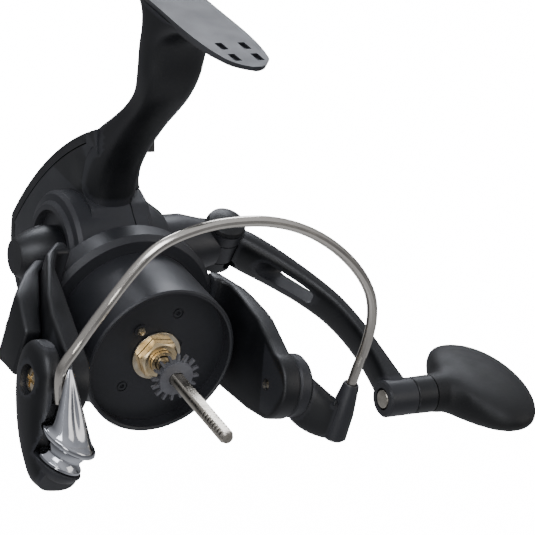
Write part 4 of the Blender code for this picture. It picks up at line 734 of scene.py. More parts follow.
def stem_and_foot(housing, datum):
    """The stem's loft and the foot's plate, joined to the housing."""
    across, along, up = Vector((1, 0, 0)), Vector((0, 1, 0)), Vector((0, 0, 1))
    stations = (  # z, centre x, centre y, half width, half length
        (19.0, -1.0, 41.2, 7.0, 7.4),
        (27.0, -1.0, 41.6, 7.0, 7.9),
        (33.0, -1.0, 41.6, 7.0, 8.3),
        (39.5, -1.0, 38.8, 6.9, 7.5),
        (46.0, -0.8, 33.9, 6.6, 6.1),
        (52.0, -0.5, 28.8, 6.4, 4.7),
        (57.0, -0.1, 24.8, 6.4, 4.3),
        (62.0, 0.1, 21.7, 6.8, 4.3),
        (68.0, 0.1, 20.2, 7.7, 4.7),
        (74.0, 0.1, 20.2, 8.1, 5.2),
        (78.5, 0.0, 19.6, 8.0, 6.6),
        (82.0, 0.0, 18.6, 7.6, 11.5),
        (FOOT_HEIGHT - 1.6, 0.0, 17.4, 7.2, 19.0),
    )
    rings = [section((x, y, z), across, along, wide, long, 18, 2.8) for z, x, y, wide, long in stations]
    stem = loft("stem_shape", rings, datum)
    cut(stem, block("stem_cover_room", (COVER_SPLIT - 0.01, 0, 0), (40, 90, COVER_TOP + GAP + 0.01), datum))
    join(housing, stem)
    half = FOOT_LENGTH / 2
    rings = []
    for share in (-1.0, -0.96, -0.85, -0.5, 0.0, 0.5, 0.85, 0.96, 1.0):
        thick = FOOT_THICK * (1.0 - 0.62 * abs(share) ** 2.2)
        wide = FOOT_WIDTH / 2 * math.sqrt(max(0.02, 1 - abs(share) ** 5))
        centre = (0, FOOT_CENTRE_Y + share * half, FOOT_HEIGHT)
        ring = [Vector(centre) + across * wide * x for x in (1, 0, -1)]
        for x in (-0.86, -0.45, 0.45, 0.86):
            ring.append(Vector(centre) + across * wide * x - up * thick * (1 - 0.25 * abs(x)))
        rings.append(ring)
    join(housing, loft("foot_shape", rings, datum))
    for side in (-1, 1):
        for row in range(2):
            for column in (-1, 1):
                y = FOOT_CENTRE_Y + side * (half - 5.5 - 6.4 * row)
                x = column * 2.9
                pocket = block(
                    f"foot_pocket_{side}_{row}_{column}", (x - 0.9, y - 1.9, FOOT_HEIGHT - 0.8),
                    (x + 0.9, y + 1.9, FOOT_HEIGHT + 1), datum,
                )
                cut(housing, pocket)


def body_housing(datum):
    made = case_solid("body_housing", datum, BLACK)
    cut(made, block("cover_room", (COVER_SPLIT, -50, -60), (40, 150, COVER_TOP + GAP), datum))
    stem_and_foot(made, datum)
    front = CASE_FRONT + 1.6
    profile = [
        (0, NECK_FRONT), (NECK_R - 0.5, NECK_FRONT), (NECK_R, NECK_FRONT + 0.5), (NECK_R, FLANGE_FRONT),
        (FLANGE_R - 0.6, FLANGE_FRONT), (FLANGE_R, FLANGE_FRONT + 0.6), (FLANGE_R, front), (0, front),
    ]
    join(made, turned("front_flange", profile, "Y", datum, sides=28))
    cut(made, rear_cover_room("rear_cover_room", datum))
    cut(made, case_hollow("housing_hollow", datum))
    # Room for the drive gear through the flange, open towards the side cover
    gear_room = block("gear_room", (-7.0, FLANGE_FRONT + 1.6, -11), (24, front + 3, 24), datum)
    keep(gear_room, rod("gear_room_round", FLANGE_R - 1.5, FLANGE_FRONT, front + 9, "Y", datum, sides=28))
    cut(made, gear_room)
    cut(made, rod("neck_bore", 12.3, NECK_FRONT - 1, FLANGE_FRONT - 1.5, "Y", datum, sides=28))
    cut(made, rod("pinion_bore", 7.6, NECK_FRONT - 2, FLANGE_FRONT + 3, "Y", datum))
    at = (0, CRANK_Y, CRANK_Z)
    cut(made, rod("left_bearing_bore", BEARING_R + 0.15, -11.0, -5, "X", datum, None, at, 24))
    cut(made, rod("left_axle_bore", AXLE_R + 0.4, -30, -10, "X", datum, None, at, 20))
    # Post that carries the oscillation gear, and the support of the pinion's rear
    post_at = (0, OSCILLATION_Y, 0)
    join(made, rod("gear_post_foot", 3.0, -7.6, SPUR_X - 0.2, "X", datum, None, post_at, 18))
    join(made, rod("gear_post", 1.5, -7.6, SPUR_X + 1.9, "X", datum, None, post_at, 14))
    low = PINION_REAR - 3.0
    join(made, block("pinion_bridge", (-7.6, low, -6.6), (COVER_SPLIT - 0.2, low + 2.8, 1.6), datum))
    join(made, block("bridge_foot", (-4.0, low + 0.1, -19.0), (1.0, low + 2.7, -6.0), datum))
    cut(made, rod("pinion_rear_bore", 4.1, low - 2, low + 5, "Y", datum))
    cut(made, rod("lever_hole", 2.0, -30, -10, "Z", datum, None, (0, LEVER_Y, 0)))
    return made


def side_cover(datum):
    made = case_solid("side_cover", datum, BLACK)
    keep(made, block("cover_part", (COVER_SPLIT + GAP, -50, -60), (40, 150, COVER_TOP), datum))
    cut(made, case_hollow("cover_hollow", datum))
    cut(made, rod("flange_clear", FLANGE_R + GAP, 0, CASE_FRONT + 1.6 + GAP, "Y", datum, sides=32))
    at = (0, CRANK_Y, CRANK_Z)
    cut(made, rod("right_bearing_bore", BEARING_R + 0.15, 5, 12.5, "X", datum, None, at, 24))
    cut(made, rod("right_axle_bore", AXLE_R + 0.4, 10, 30, "X", datum, None, at, 20))
    for i, (y, z) in enumerate(COVER_SCREWS):
        spot = (0, y, z)
        cut(made, rod(f"cover_screw_seat_{i}", 2.3, CASE_HALF - 0.7, 30, "X", datum, None, spot, 18))
        cut(made, rod(f"cover_screw_hole_{i}", 1.2, 0, 30, "X", datum, None, spot, 14))
        screw_head(
            f"side_cover_screw_{i + 1}", 1.9, 1.0, 0.7, datum, (CASE_HALF - 0.55, y, z), (0, 90, 0), NICKEL,
            3.0, 0.9, 12,
        )
    return made


def rear_cover(datum):
    """The strip that wraps the spine from the seam on its top to the base."""
    upper = circle_through(*SPINE_TOP)
    lower = circle_through(*BOTTOM_BACK)
    outer = arc_between(upper, 0, SEAM_AT, SPINE_TOP[2], 12) + arc_between(lower, 0, *BOTTOM_BACK[::2], 8)[1:]
    inner = arc_between(upper, REAR_COVER_THICK, SEAM_AT, SPINE_TOP[2], 12)
    inner += arc_between(lower, REAR_COVER_THICK, *BOTTOM_BACK[::2], 8)[1:]
    half = REAR_COVER_WIDTH / 2
    made = plate("rear_cover", outer + inner[::-1], -half, half, "X", datum, BLACK)
    round_edges(made, 0.9, 2, 60)
    return made


def anti_reverse_lever(datum):
    axis = axis_empty("lever_axis", datum, (0, LEVER_Y, CASE_LOW))
    outline = rounded([(-3.2, -3.5, 3.0), (3.2, -3.5, 3.0), (2.2, 13.0, 2.0), (-2.2, 13.0, 2.0)], 4)
    made = plate("anti_reverse_lever", outline, -2.2 - 0.35, -0.35, "Z", axis, BLACK)
    join(made, rod("lever_shaft", 1.7, -1.0, 5.5, "Z", axis, sides=16))
    join(made, block("lever_thumb", (-1.6, 9.6, -4.0), (1.6, 12.0, -1.0), axis))
    return made


def shaft_group(datum):
    shaft = axis_empty("shaft_axis", datum)
    pitch, depth = 1.25, 0.25
    profile = [(0, SHAFT_TIP), (SHAFT_R - 0.45, SHAFT_TIP), (SHAFT_R - depth, SHAFT_TIP + 0.5)]
    for i in range(int(THREAD_LENGTH / pitch)):
        y = SHAFT_TIP + 0.7 + i * pitch
        profile += [(SHAFT_R, y + 0.2 * pitch), (SHAFT_R, y + 0.5 * pitch),
                    (SHAFT_R - depth, y + 0.85 * pitch)]
    profile += [(SHAFT_R, SHAFT_TIP + THREAD_LENGTH + 1), (SHAFT_R, SHAFT_REAR), (0, SHAFT_REAR)]
    made = turned("main_shaft", profile, "Y", shaft, STEEL, sides=14)
    for side in (-1, 1):
        low, high = sorted((side * SHAFT_FLATS / 2, side * 4))
        cut(made, block(f"shaft_flat_{side}", (-4, SHAFT_TIP - 1, low), (4, CLICK_Y + 3, high), shaft))
    outline = gear_outline(CLICK_TEETH, CLICK_R - 1.75, CLICK_R, 0.36)
    half = math.sqrt((SHAFT_R + 0.12) ** 2 - (SHAFT_FLATS / 2 + 0.12) ** 2)
    reach = math.degrees(math.atan2(SHAFT_FLATS / 2 + 0.12, half))
    hole = arc((0, 0), SHAFT_R + 0.12, -reach, reach, 6) + arc((0, 0), SHAFT_R + 0.12, 180 - reach,
                            180 + reach, 6)
    gear = plate("click_gear", [outline, hole], CLICK_Y - 0.5, CLICK_Y + 0.5, "Y", shaft, GREY)
    raised = plate("click_disc", [circle(4.45, 28), hole], CLICK_Y - 0.9, CLICK_Y + 0.9, "Y", shaft)
    join(gear, raised)
    slider = block("crosswind_slider", (SLIDER_X, OSCILLATION_Y - 3.6 + PIN_SHIFT, -10.5),
                   (2.6, OSCILLATION_Y + 3.6 + PIN_SHIFT, 10.5), shaft, ZINC)
    groove = block("slider_groove", (SLIDER_X - 1, OSCILLATION_Y - 1.9 + PIN_SHIFT, -9.4),
                   (SLIDER_X + 1.6, OSCILLATION_Y + 1.9 + PIN_SHIFT, 9.4), shaft)
    cut(slider, groove)
    cut(slider, rod("slider_bore", SHAFT_R + 0.1, 0, 120, "Y", shaft))
    cut(slider, rod("slider_rod_bore", 1.35, 0, 120, "Y", shaft, None, (0.9, 0, GUIDE_Z), 16))
    cut(slider, rod("slider_screw_bore", 0.95, 0, 12, "X", shaft, None, (0, OSCILLATION_Y + PIN_SHIFT, 0),
                    12))
    screw_head(
        "slider_screw", 1.6, 0.6, 0, shaft, (2.8, OSCILLATION_Y + PIN_SHIFT, 0), (0, 90, 0), NICKEL, 0.6, 0.8
    )
    rod("slider_guide_rod", 1.1, CASE_FRONT + 12.5, 70.5, "Y", datum, STEEL, (0.9, 0, GUIDE_Z), 14)
    return shaft


# --- Rotor --------------------------------------------------------------------------------

def two_views(name, plan, side, parent, look, rounding=0.0):
    """What a plan outline (x, y) and a side outline (y, z) have in common."""
    made = plate(name, plan, -60, 60, "Z", parent, look)
    keep(made, plate(name + "_side_view", side, -90, 90, "X", parent))
    if rounding:
        round_edges(made, rounding, 2)
    return made


def arm_sides():
    """Side outlines (y, z) of the left and the right rotor arm."""
    nose = arc((PIVOT_Y, 0), PIVOT_R, 115, 300, 9)
    left = nose + [(-1.0, -7.6), (6.0, -8.6), (15.0, -13.0), (24.6, -16.0)]
    left += [(24.6, 19.4), (17.0, 18.4), (8.0, 15.4), (-3.0, 11.4)]
    nose = arc((PIVOT_Y, 0), PIVOT_R, 85, 262, 9)
    right = nose + [(-5.0, -9.8), (9.0, -11.4), (24.6, -13.0), (24.6, 13.6), (12.0, 13.2), (2.0, 12.2),
                    (-4.0, 10.2)]
    return left, right


def arm_plan(side):
    """Plan (x, y) of one arm: inner face, nose, and the outer face that runs in to the skirt."""
    front = PIVOT_Y - PIVOT_R - 2
    if side < 0:
        points = [
            (ARM_INNER[0], front), (ARM_OUTER[0], front), (ARM_OUTER[0], 0.0), (33.0, 6.0), (28.6,
                    19.0), (24.0, 24.4),
            (HUB_R + 1.6, 24.4), (HUB_R + 1.6, WEB_Y + 0.2), (ARM_INNER[0] - 3.6, WEB_Y - 0.2),
            (ARM_INNER[0] - 0.8, 14.0),
        ]
    else:
        points = [
            (ARM_INNER[1], front), (ARM_OUTER[1], front), (ARM_OUTER[1], 6.0), (28.6, 16.0), (24.6, 24.4),
            (HUB_R + 1.6, 24.4), (HUB_R + 1.6, WEB_Y + 0.2), (ARM_INNER[1] - 1.3,
                                    WEB_Y - 0.1), (ARM_INNER[1], 17.6),
        ]
    return [(side * x, y) for x, y in points]


def cover_plan(side):
    if side < 0:
        points = [
            (ARM_OUTER[0] + GAP, 0.6), (38.8, 0.6), (38.4, 11.0), (33.4, 18.6), (28.4, 24.2),
            (24.8, 24.3), (28.6 + GAP, 19.2), (33.0 + GAP, 6.1),
        ]
    else:
        points = [
            (ARM_OUTER[1] + GAP, 0.6), (33.4, 0.6), (33.2, 9.0), (31.6, 16.8), (28.0, 24.2),
            (25.2, 24.3), (28.6 + GAP, 16.1), (ARM_OUTER[1] + GAP, 6.1),
        ]
    return [(side * x, y) for x, y in points]


def rotor(axis):
    skirt_inner = SKIRT_R - SKIRT_WALL
    hub_inner = HUB_R - HUB_WALL
    floor = HUB_RECESS + FLOOR_THICK
    profile = [
        (8.0, floor), (8.0, 8.9), (PINION_TUBE_R + 0.1, 8.9), (PINION_TUBE_R + 0.1, HUB_RECESS),
        (HUB_R - HUB_LIP, HUB_RECESS), (HUB_R - HUB_LIP, 0.3), (HUB_R - HUB_LIP + 0.4, 0), (HUB_R - 0.4, 0),
        (HUB_R, 0.4), (HUB_R, WEB_Y), (SKIRT_R - 1.4, WEB_Y), (SKIRT_R, WEB_Y + 1.2), (SKIRT_R, SKIRT_REAR),
        (skirt_inner, SKIRT_REAR), (skirt_inner, WEB_Y + 1.7), (hub_inner, WEB_Y + 1.7), (hub_inner, floor),
    ]
    made = turned("rotor", profile[::-1], "Y", axis, BLACK, sides=36, ring=True)
    sides = arm_sides()
    for side, name, outline in ((-1, "left_arm", sides[0]), (1, "right_arm", sides[1])):
        arm = two_views(name + "_shape", arm_plan(side), outline, axis, None, 0.9)
        join(made, arm)
        hole = rod(f"{name}_pivot_bore", 1.5, 20, 40, "X", axis, None, (0, PIVOT_Y, 0), 16)
        if side < 0:
            hole.rotation_euler = (0, -math.pi / 2, 0)
        cut(made, hole)
    clear = rod("skirt_clear", skirt_inner, WEB_Y + 1.7, SKIRT_REAR + 2, "Y", axis, sides=36)
    cut(made, clear)
    spots = ((-6.4, 6.6), (2.8, 11.6), (5.0, 3.0), (-6.6, -9.2))
    x, z = spots[0]
    join(made, rod("retainer_boss", 1.6, HUB_RECESS - 0.7, floor, "Y", axis, None, (x, 0, z), 16))
    for i, (x, z) in enumerate(spots[1:]):
        cut(made, rod(f"floor_mark_{i}", 0.6, 0, HUB_RECESS + 0.5, "Y", axis, None, (x, 0, z), 12))
        cut(made, tube(f"floor_ring_{i}", 1.1, 1.45, 0, HUB_RECESS + 0.3, "Y", axis, None, (x, 0, z), 20))
    cut(made, rod("retainer_screw_bore", 0.8, 0, HUB_RECESS + 1.2, "Y", axis, None,
                  (spots[0][0], 0, spots[0][1])))
    screw_head("retainer_screw", 1.1, 0.5, 0.35, axis, (spots[0][0], HUB_RECESS - 0.85, spots[0][1]),
               (90, 0, 0),
               NICKEL, 1.5, 0.6)
    return made


def cover_normal(side):
    """Outward direction of the slanting rear part of an arm cover."""
    ends = ((38.4, 11.0), (33.4, 18.6)) if side < 0 else ((33.2, 9.0), (31.6, 16.8))
    run = Vector(ends[1]) - Vector(ends[0])
    return Vector((side * run.y, -run.x, 0)).normalized()


def arm_covers(axis):
    """The covers on the outer side of both rotor arms, each with its screw."""
    left_side = [(0.6, 6.8), (8.0, 10.8), (16.0, 13.0), (24.2, 14.4), (24.2, -9.6), (15.0, -7.2),
                 (7.0, -5.8), (0.6, -5.2)]
    right_side = [(0.6, 6.0), (16.0, 8.6), (24.2, 10.0), (24.2, -10.0), (16.0, -9.6), (4.0, -8.6),
                  (0.6, -7.0)]
    spots = ((-1, "left_arm_cover", left_side, (35.9, 14.8, 1.0)),
             (1, "right_arm_cover", right_side, (32.4, 12.9, 0.0)))
    for side, name, outline, (x, y, z) in spots:
        made = two_views(name, cover_plan(side), outline, axis, BLACK, 1.0)
        around = arc((PIVOT_Y, 0), BAIL_SWEEP, 0, 345, 23)
        cut(made, plate(name + "_front_clear", around, -60, 60, "X", axis))
        normal = cover_normal(side)
        facing = normal.to_track_quat("Z", "Y")
        seat = rod(name + "_seat", 2.2, -0.6, 6, "Z", axis, None, (side * x, y, z), 18)
        hole = rod(name + "_hole", 1.1, -2.6, 1, "Z", axis, None, (side * x, y, z), 12)
        screw = screw_head(name + "_screw", 1.9, 0.9, 0.65, axis, (side * x, y, z), (0, 0, 0), NICKEL, 1.6,
                           0.9)
        screw.location += normal * -0.4 * MM
        for made_here in (seat, hole, screw):
            made_here.rotation_mode = "QUATERNION"
            made_here.rotation_quaternion = facing
        cut(made, seat, hole)


def nut_and_washer(axis):
    turn = [(math.radians(angle)) for angle in range(0, 360, 60)]
    outline = [(NUT_R * math.cos(a), NUT_R * math.sin(a)) for a in turn]
    nut = plate("rotor_nut", outline, NUT_FRONT, NUT_BACK, "Y", axis, BRASS)
    cone = [(0, NUT_FRONT - 1), (NUT_R - 1.9, NUT_FRONT - 0.6), (NUT_R + 1.0, NUT_FRONT + 1.5),
            (NUT_R + 1.0, NUT_BACK + 1), (0, NUT_BACK + 1)]
    keep(nut, turned("nut_chamfer", cone, "Y", axis, sides=36))
    cut(nut, rod("nut_bore", PINION_TUBE_R + 0.1, -5, 8, "Y", axis, sides=24))
    tube("nut_washer", PINION_TUBE_R + 0.1, WASHER_R, NUT_BACK + 0.2, HUB_RECESS - 0.2, "Y", axis, NICKEL,
         sides=36)


# --- Bail ---------------------------------------------------------------------------------

def roller_axis_direction():
    lean = math.radians(ROLLER_TILT)
    return Vector((math.sin(lean), 0, math.cos(lean)))


def bail_arm(bail):
    """The arm from its round pivot end, down and forwards to the roller's seat."""
    across = Vector((1, 0, 0))
    stations = (  # y, z, x, half width, half thickness
        (1.8, 8.6, -37.7, 2.6, 1.7),
        (1.6, 7.1, -37.8, 5.2, 2.7),
        (1.4, 4.2, -37.9, 7.3, 3.1),
        (0.8, 0.2, -37.9, 8.0, 3.2),
        (-2.0, -4.8, -37.9, 7.8, 3.2),
        (-6.0, -9.8, -38.0, 6.6, 3.3),
        (-10.0, -13.3, -37.6, 5.6, 3.7),
        (-13.8, -15.6, -36.4, 5.0, 4.8),
        (-17.2, -16.6, -35.6, 3.6, 4.6),
    )
    rings = []
    for i, (y, z, x, half, thick) in enumerate(stations):
        near = stations[max(i - 1, 0)]
        far = stations[min(i + 1, len(stations) - 1)]
        path = Vector((0, far[0] - near[0], far[1] - near[1])).normalized()
        rings.append(section((x, y, z), path.cross(across), across, half, thick, 16, 2.6))
    made = loft("bail_arm", rings, bail, BLACK)
    seat_at = Vector(ROLLER_AT) - roller_axis_direction() * (ROLLER_LENGTH / 2 + GAP)
    profile = [(0, -3.6), (3.0, -3.4), (5.0, -2.2), (5.9, -0.6), (5.9, -0.2), (5.6, 0), (0, 0)]
    join(made, turned("roller_seat", profile, "Z", bail, None, seat_at, 24, turn=(0, ROLLER_TILT, 0)))
    room = rod("roller_room", ROLLER_R + 1.2, 0, 9, "Z", bail, None, seat_at, 28, turn=(0, ROLLER_TILT, 0))
    cut(made, room)
    inner = block("rotor_arm_clear", (-ARM_OUTER[0] - 2 * GAP, -11.5, -20), (-20, 14, 20), bail)
    cut(made, inner)
    base = Vector(ROLLER_AT) + roller_axis_direction() * (ROLLER_LENGTH / 2 + GAP)
    cut(made, loft("fairing_room", fairing_rings(base, 0.5), bail))
    upward = [point - Vector((0, 0, 1)) if i == 0 else point for i,
              point in enumerate(smooth_run(wire_points(), 2)[:8])]
    cut(made, mesh_from_curve(wire_curve("wire_room", WIRE_R + 0.4, bail, BLACK, upward)))
    cut(made, rod("pivot_seat", 3.6, 38.6, 50, "X", bail, None, (0, 0, 0), 24, turn=(0, -90, 0)))
    cut(made, rod("pivot_hole", 2.4, 20, 50, "X", bail, None, (0, 0, 0), 20, turn=(0, -90, 0)))
    cut(made, rod("roller_screw_hole", 1.0, -5, 3, "Z", bail, None, seat_at, 14, turn=(0, ROLLER_TILT, 0)))
    return seat_at


def fairing_rings(base, extra):
    """Rings of the fairing: a round rim, then three hollow flutes that run up to the tip by the wire."""
    normal = roller_axis_direction()
    across = normal.cross(Vector((0, 1, 0))).normalized()
    tip = Vector((-36.4, WIRE_PLANE - 0.4, 8.4))
    rings = []
    stations = (  # share of the height, size, depth of the flutes
        (0.0, 0.98, 0.0), (0.03, 1.06, 0.0), (0.09, 1.07, 0.0), (0.12, 0.98, 0.06), (0.2, 0.88,
                0.22), (0.35, 0.74, 0.32),
        (0.5, 0.60, 0.36), (0.65, 0.46, 0.34), (0.8, 0.32, 0.28), (0.92, 0.20, 0.2), (1.0, 0.10, 0.1),
    )
    for share, size, depth in stations:
        ring = []
        for i in range(48):
            angle = 2 * math.pi * i / 48
            flute = 1 - depth * (1 - abs(math.cos(1.5 * angle + 0.9)) ** 1.6)
            if extra:
                flute = 1
            radius = FAIRING_R * size * flute + extra
            ring.append(base.lerp(tip, share) + across * radius * math.cos(angle) + Vector((0, 1,
                    0)) * radius * math.sin(angle))
        rings.append(ring)
    return rings


def roller_group(bail, seat_at):
    axis = axis_empty("roller_axis", bail, ROLLER_AT, (0, ROLLER_TILT, 0))
    half = ROLLER_LENGTH / 2
    profile = [
        (ROLLER_BORE, -half), (ROLLER_R, -half), (ROLLER_R, -half + 0.7), (ROLLER_WAIST + 0.3, -0.8),
        (ROLLER_WAIST, 0), (ROLLER_WAIST + 0.3, 0.8), (ROLLER_R - 0.5, half - 0.6), (ROLLER_R - 0.5, half),
        (ROLLER_BORE, half),
    ]
    turned("line_roller", profile, "Z", axis, CHROME, sides=30, ring=True)
    tube("roller_bush", 1.2, ROLLER_BORE - 0.1, -half + 0.1, half - 0.1, "Z", bail, BRASS, ROLLER_AT, 20,
         turn=(0, ROLLER_TILT, 0))
    base = Vector(ROLLER_AT) + roller_axis_direction() * (half + GAP)
    fairing = loft("roller_fairing", fairing_rings(base, 0.0), bail, CHROME)
    cut(fairing, rod("fairing_screw_bore", 1.0, -4, 3.2, "Z", bail, None, base, 14, turn=(0, ROLLER_TILT, 0)))
    screw = rod("roller_screw", 0.85, -3.2 - ROLLER_LENGTH - GAP, 2.9, "Z", bail, NICKEL, base, 14,
                turn=(0, ROLLER_TILT, 0))
    return fairing, screw


def wire_points():
    """The bail wire's run in the bail's frame: up from the fairing, over the front, down to the socket."""
    run = (
        (-36.4, -0.6), (-37.9, 5.0), (-38.1, 8.4), (-36.4, 13.0), (-31.6, 24.5), (-26.8, 34.6), (-22.6, 40.2),
        (-16.0, 44.2), (-7.6, 47.0), (3.2, 48.2), (13.6, 46.9), (23.6, 43.2), (32.6, 37.6), (39.0, 31.2),
        (42.2, 24.4), (43.2, 17.0), (SOCKET_X, 10.0), (SOCKET_X, SOCKET_TOP), (SOCKET_X, SOCKET_TOP - 6.0),
    )
    return [Vector((x, WIRE_PLANE, z)) for x, z in run]


def smooth_run(points, steps=3):
    """A Catmull-Rom curve through the points."""
    made = []
    for i in range(len(points) - 1):
        before = points[max(i - 1, 0)]
        after = points[min(i + 2, len(points) - 1)]
        for step in range(steps):
            t = step / steps
            a, b = points[i], points[i + 1]
            made.append(
                0.5 * (2 * a + (b - before) * t + (2 * before - 5 * a + 4 * b - after) * t * t
                       + (3 * a - before - 3 * b + after) * t ** 3)
            )
    return made + [points[-1]]


def wire_curve(name, radius, parent, look, points, resolution=2):
    curve = bpy.data.curves.new(name, "CURVE")
    curve.dimensions = "3D"
    curve.bevel_depth = radius * MM
    curve.bevel_resolution = resolution
    curve.use_fill_caps = True
    spline = curve.splines.new("POLY")
    spline.points.add(len(points) - 1)
    for point, place_at in zip(spline.points, points):
        point.co = (*(place_at * MM), 1)
    return place(name, curve, parent, look)


def mesh_from_curve(made):
    """The curve's solid as a mesh object, so that it can cut or be cut."""
    graph = bpy.context.evaluated_depsgraph_get()
    mesh = bpy.data.meshes.new_from_object(made.evaluated_get(graph))
    tidy(mesh)
    name, parent = made.name, made.parent
    curve = made.data
    bpy.data.objects.remove(made)
    bpy.data.curves.remove(curve)
    mesh.name = name
    return place(name, mesh, parent, None)


def bail_holder(bail):
    """Disc on the right pivot, a web that runs out and forwards, and the wire's socket."""
    inner = ARM_OUTER[1] + GAP
    profile = [(0, inner), (7.4, inner), (8.0, inner + 0.6), (8.0, inner + 3.0), (7.2, inner + 4.0),
               (0, inner + 4.0)]
    made = turned("bail_holder", profile, "X", bail, BLACK, sides=26)
    up = Vector((0, 0, 1))
    stations = (  # x, y, z, half height, half thickness
        (32.0, -1.0, -0.5, 6.0, 1.5),
        (33.6, -3.6, -1.6, 6.6, 1.9),
        (36.4, -6.0, -3.0, 6.4, 2.2),
        (40.0, -8.2, -4.2, 5.6, 2.3),
        (SOCKET_X, WIRE_PLANE, -4.6, 5.0, 2.0),
    )
    rings = []
    for i, (x, y, z, half, thick) in enumerate(stations):
        near = stations[max(i - 1, 0)]
        far = stations[min(i + 1, len(stations) - 1)]
        path = Vector((far[0] - near[0], far[1] - near[1], 0)).normalized()
        rings.append(section((x, y, z), path.cross(up), up, thick, half, 16, 2.8))
    web = loft("holder_web", rings, bail)
    cut(web, block("holder_inner_clear", (20, -30, -20), (inner + 0.4, 30, 20), bail))
    join(made, web)
    socket = [(0, SOCKET_LOW), (2.6, SOCKET_LOW), (3.3, SOCKET_LOW + 0.8), (3.1, -2.0),
              (2.1, SOCKET_TOP - 0.3),
              (1.9, SOCKET_TOP), (0, SOCKET_TOP)]
    join(made, turned("holder_socket", socket, "Z", bail, None, (SOCKET_X, WIRE_PLANE, 0), 20))
    cut(made, rod("socket_bore", WIRE_R + 0.15, SOCKET_TOP - 6.4, SOCKET_TOP + 4, "Z", bail, None,
                  (SOCKET_X, WIRE_PLANE, 0), 16))
    cut(made, rod("holder_pivot_hole", 2.0, 20, 50, "X", bail, None, (0, 0, 0), 20))
    cut(made, rod("holder_pivot_seat", 3.5, inner + 2.4, 50, "X", bail, None, (0, 0, 0), 20))
    at = (38.9, -9.6, 1.0)
    cut(made, rod("wire_screw_hole", 1.0, 0.4, 5, "Z", bail, None, at, 12, turn=(90, 0, 32)))
    screw_head("wire_screw", 0.8, 0.5, 0, bail, (at[0] + 0.3, at[1] - 0.5, at[2]), (90, 0, 32), BLACK)
    return made


def pivot_screws(axis):
    spots = ((-1, "left_pivot_screw", 38.7, ARM_INNER[0]), (1, "right_pivot_screw", 32.5, ARM_INNER[1]))
    for side, name, seat, inner in spots:
        screw_head(name, 3.2, 1.5, 1.1, axis, (side * seat, PIVOT_Y, 0), (0, side * 90, 0), NICKEL,
                   seat - inner - 1.0, 1.3)


# --- Handle -------------------------------------------------------------------------------

def handle_shank(crank):
    profile = [
        (0, SHANK_START), (SHANK_R - 0.8, SHANK_START), (SHANK_R, SHANK_START + 0.8), (SHANK_R, 22.5),
        (SHANK_END_R + 0.6, 28.0), (SHANK_END_R, SHANK_END), (0, SHANK_END),
    ]
    made = turned("handle_shank", profile, "X", crank, BLACK, sides=26)
    for side in (-1, 1):
        low, high = sorted((side * (TONGUE_HALF + 0.0), side * 12))
        cut(made, rod(f"knuckle_room_{side}", KNUCKLE_R + 0.3, low, high, "Z", crank, None, (HINGE_X, 0, 0),
                      28))
    join(made, rod("tongue", KNUCKLE_R, -TONGUE_HALF, TONGUE_HALF, "Z", crank, None, (HINGE_X, 0, 0), 28))
    cut(made, rod("tongue_hole", 1.8, -9, 9, "Z", crank, None, (HINGE_X, 0, 0), 16))
    half = ROD_SIDE / 2
    join(made, block("drive_rod", (-10.6, -half, -half), (SHANK_START + 2, half, half), crank))
    join(made, rod("drive_thread", 1.5, -21.0, -10.0, "X", crank, None, (0, 0, 0), 16))
    return made


def arm_centre(share):
    """Centre of the arm (x, y) at a share of its length; it slants out, then runs straight."""
    points = ((0.0, 36.0), (0.09, 41.2), (0.17, 45.4), (0.29, 51.1), (0.44, 56.6), (0.62, 60.0),
              (0.8, 61.4), (1.0, ARM_END_X))
    for (s0, x0), (s1, x1) in zip(points, points[1:]):
        if share <= s1:
            return x0 + (x1 - x0) * (share - s0) / (s1 - s0)
    return ARM_END_X


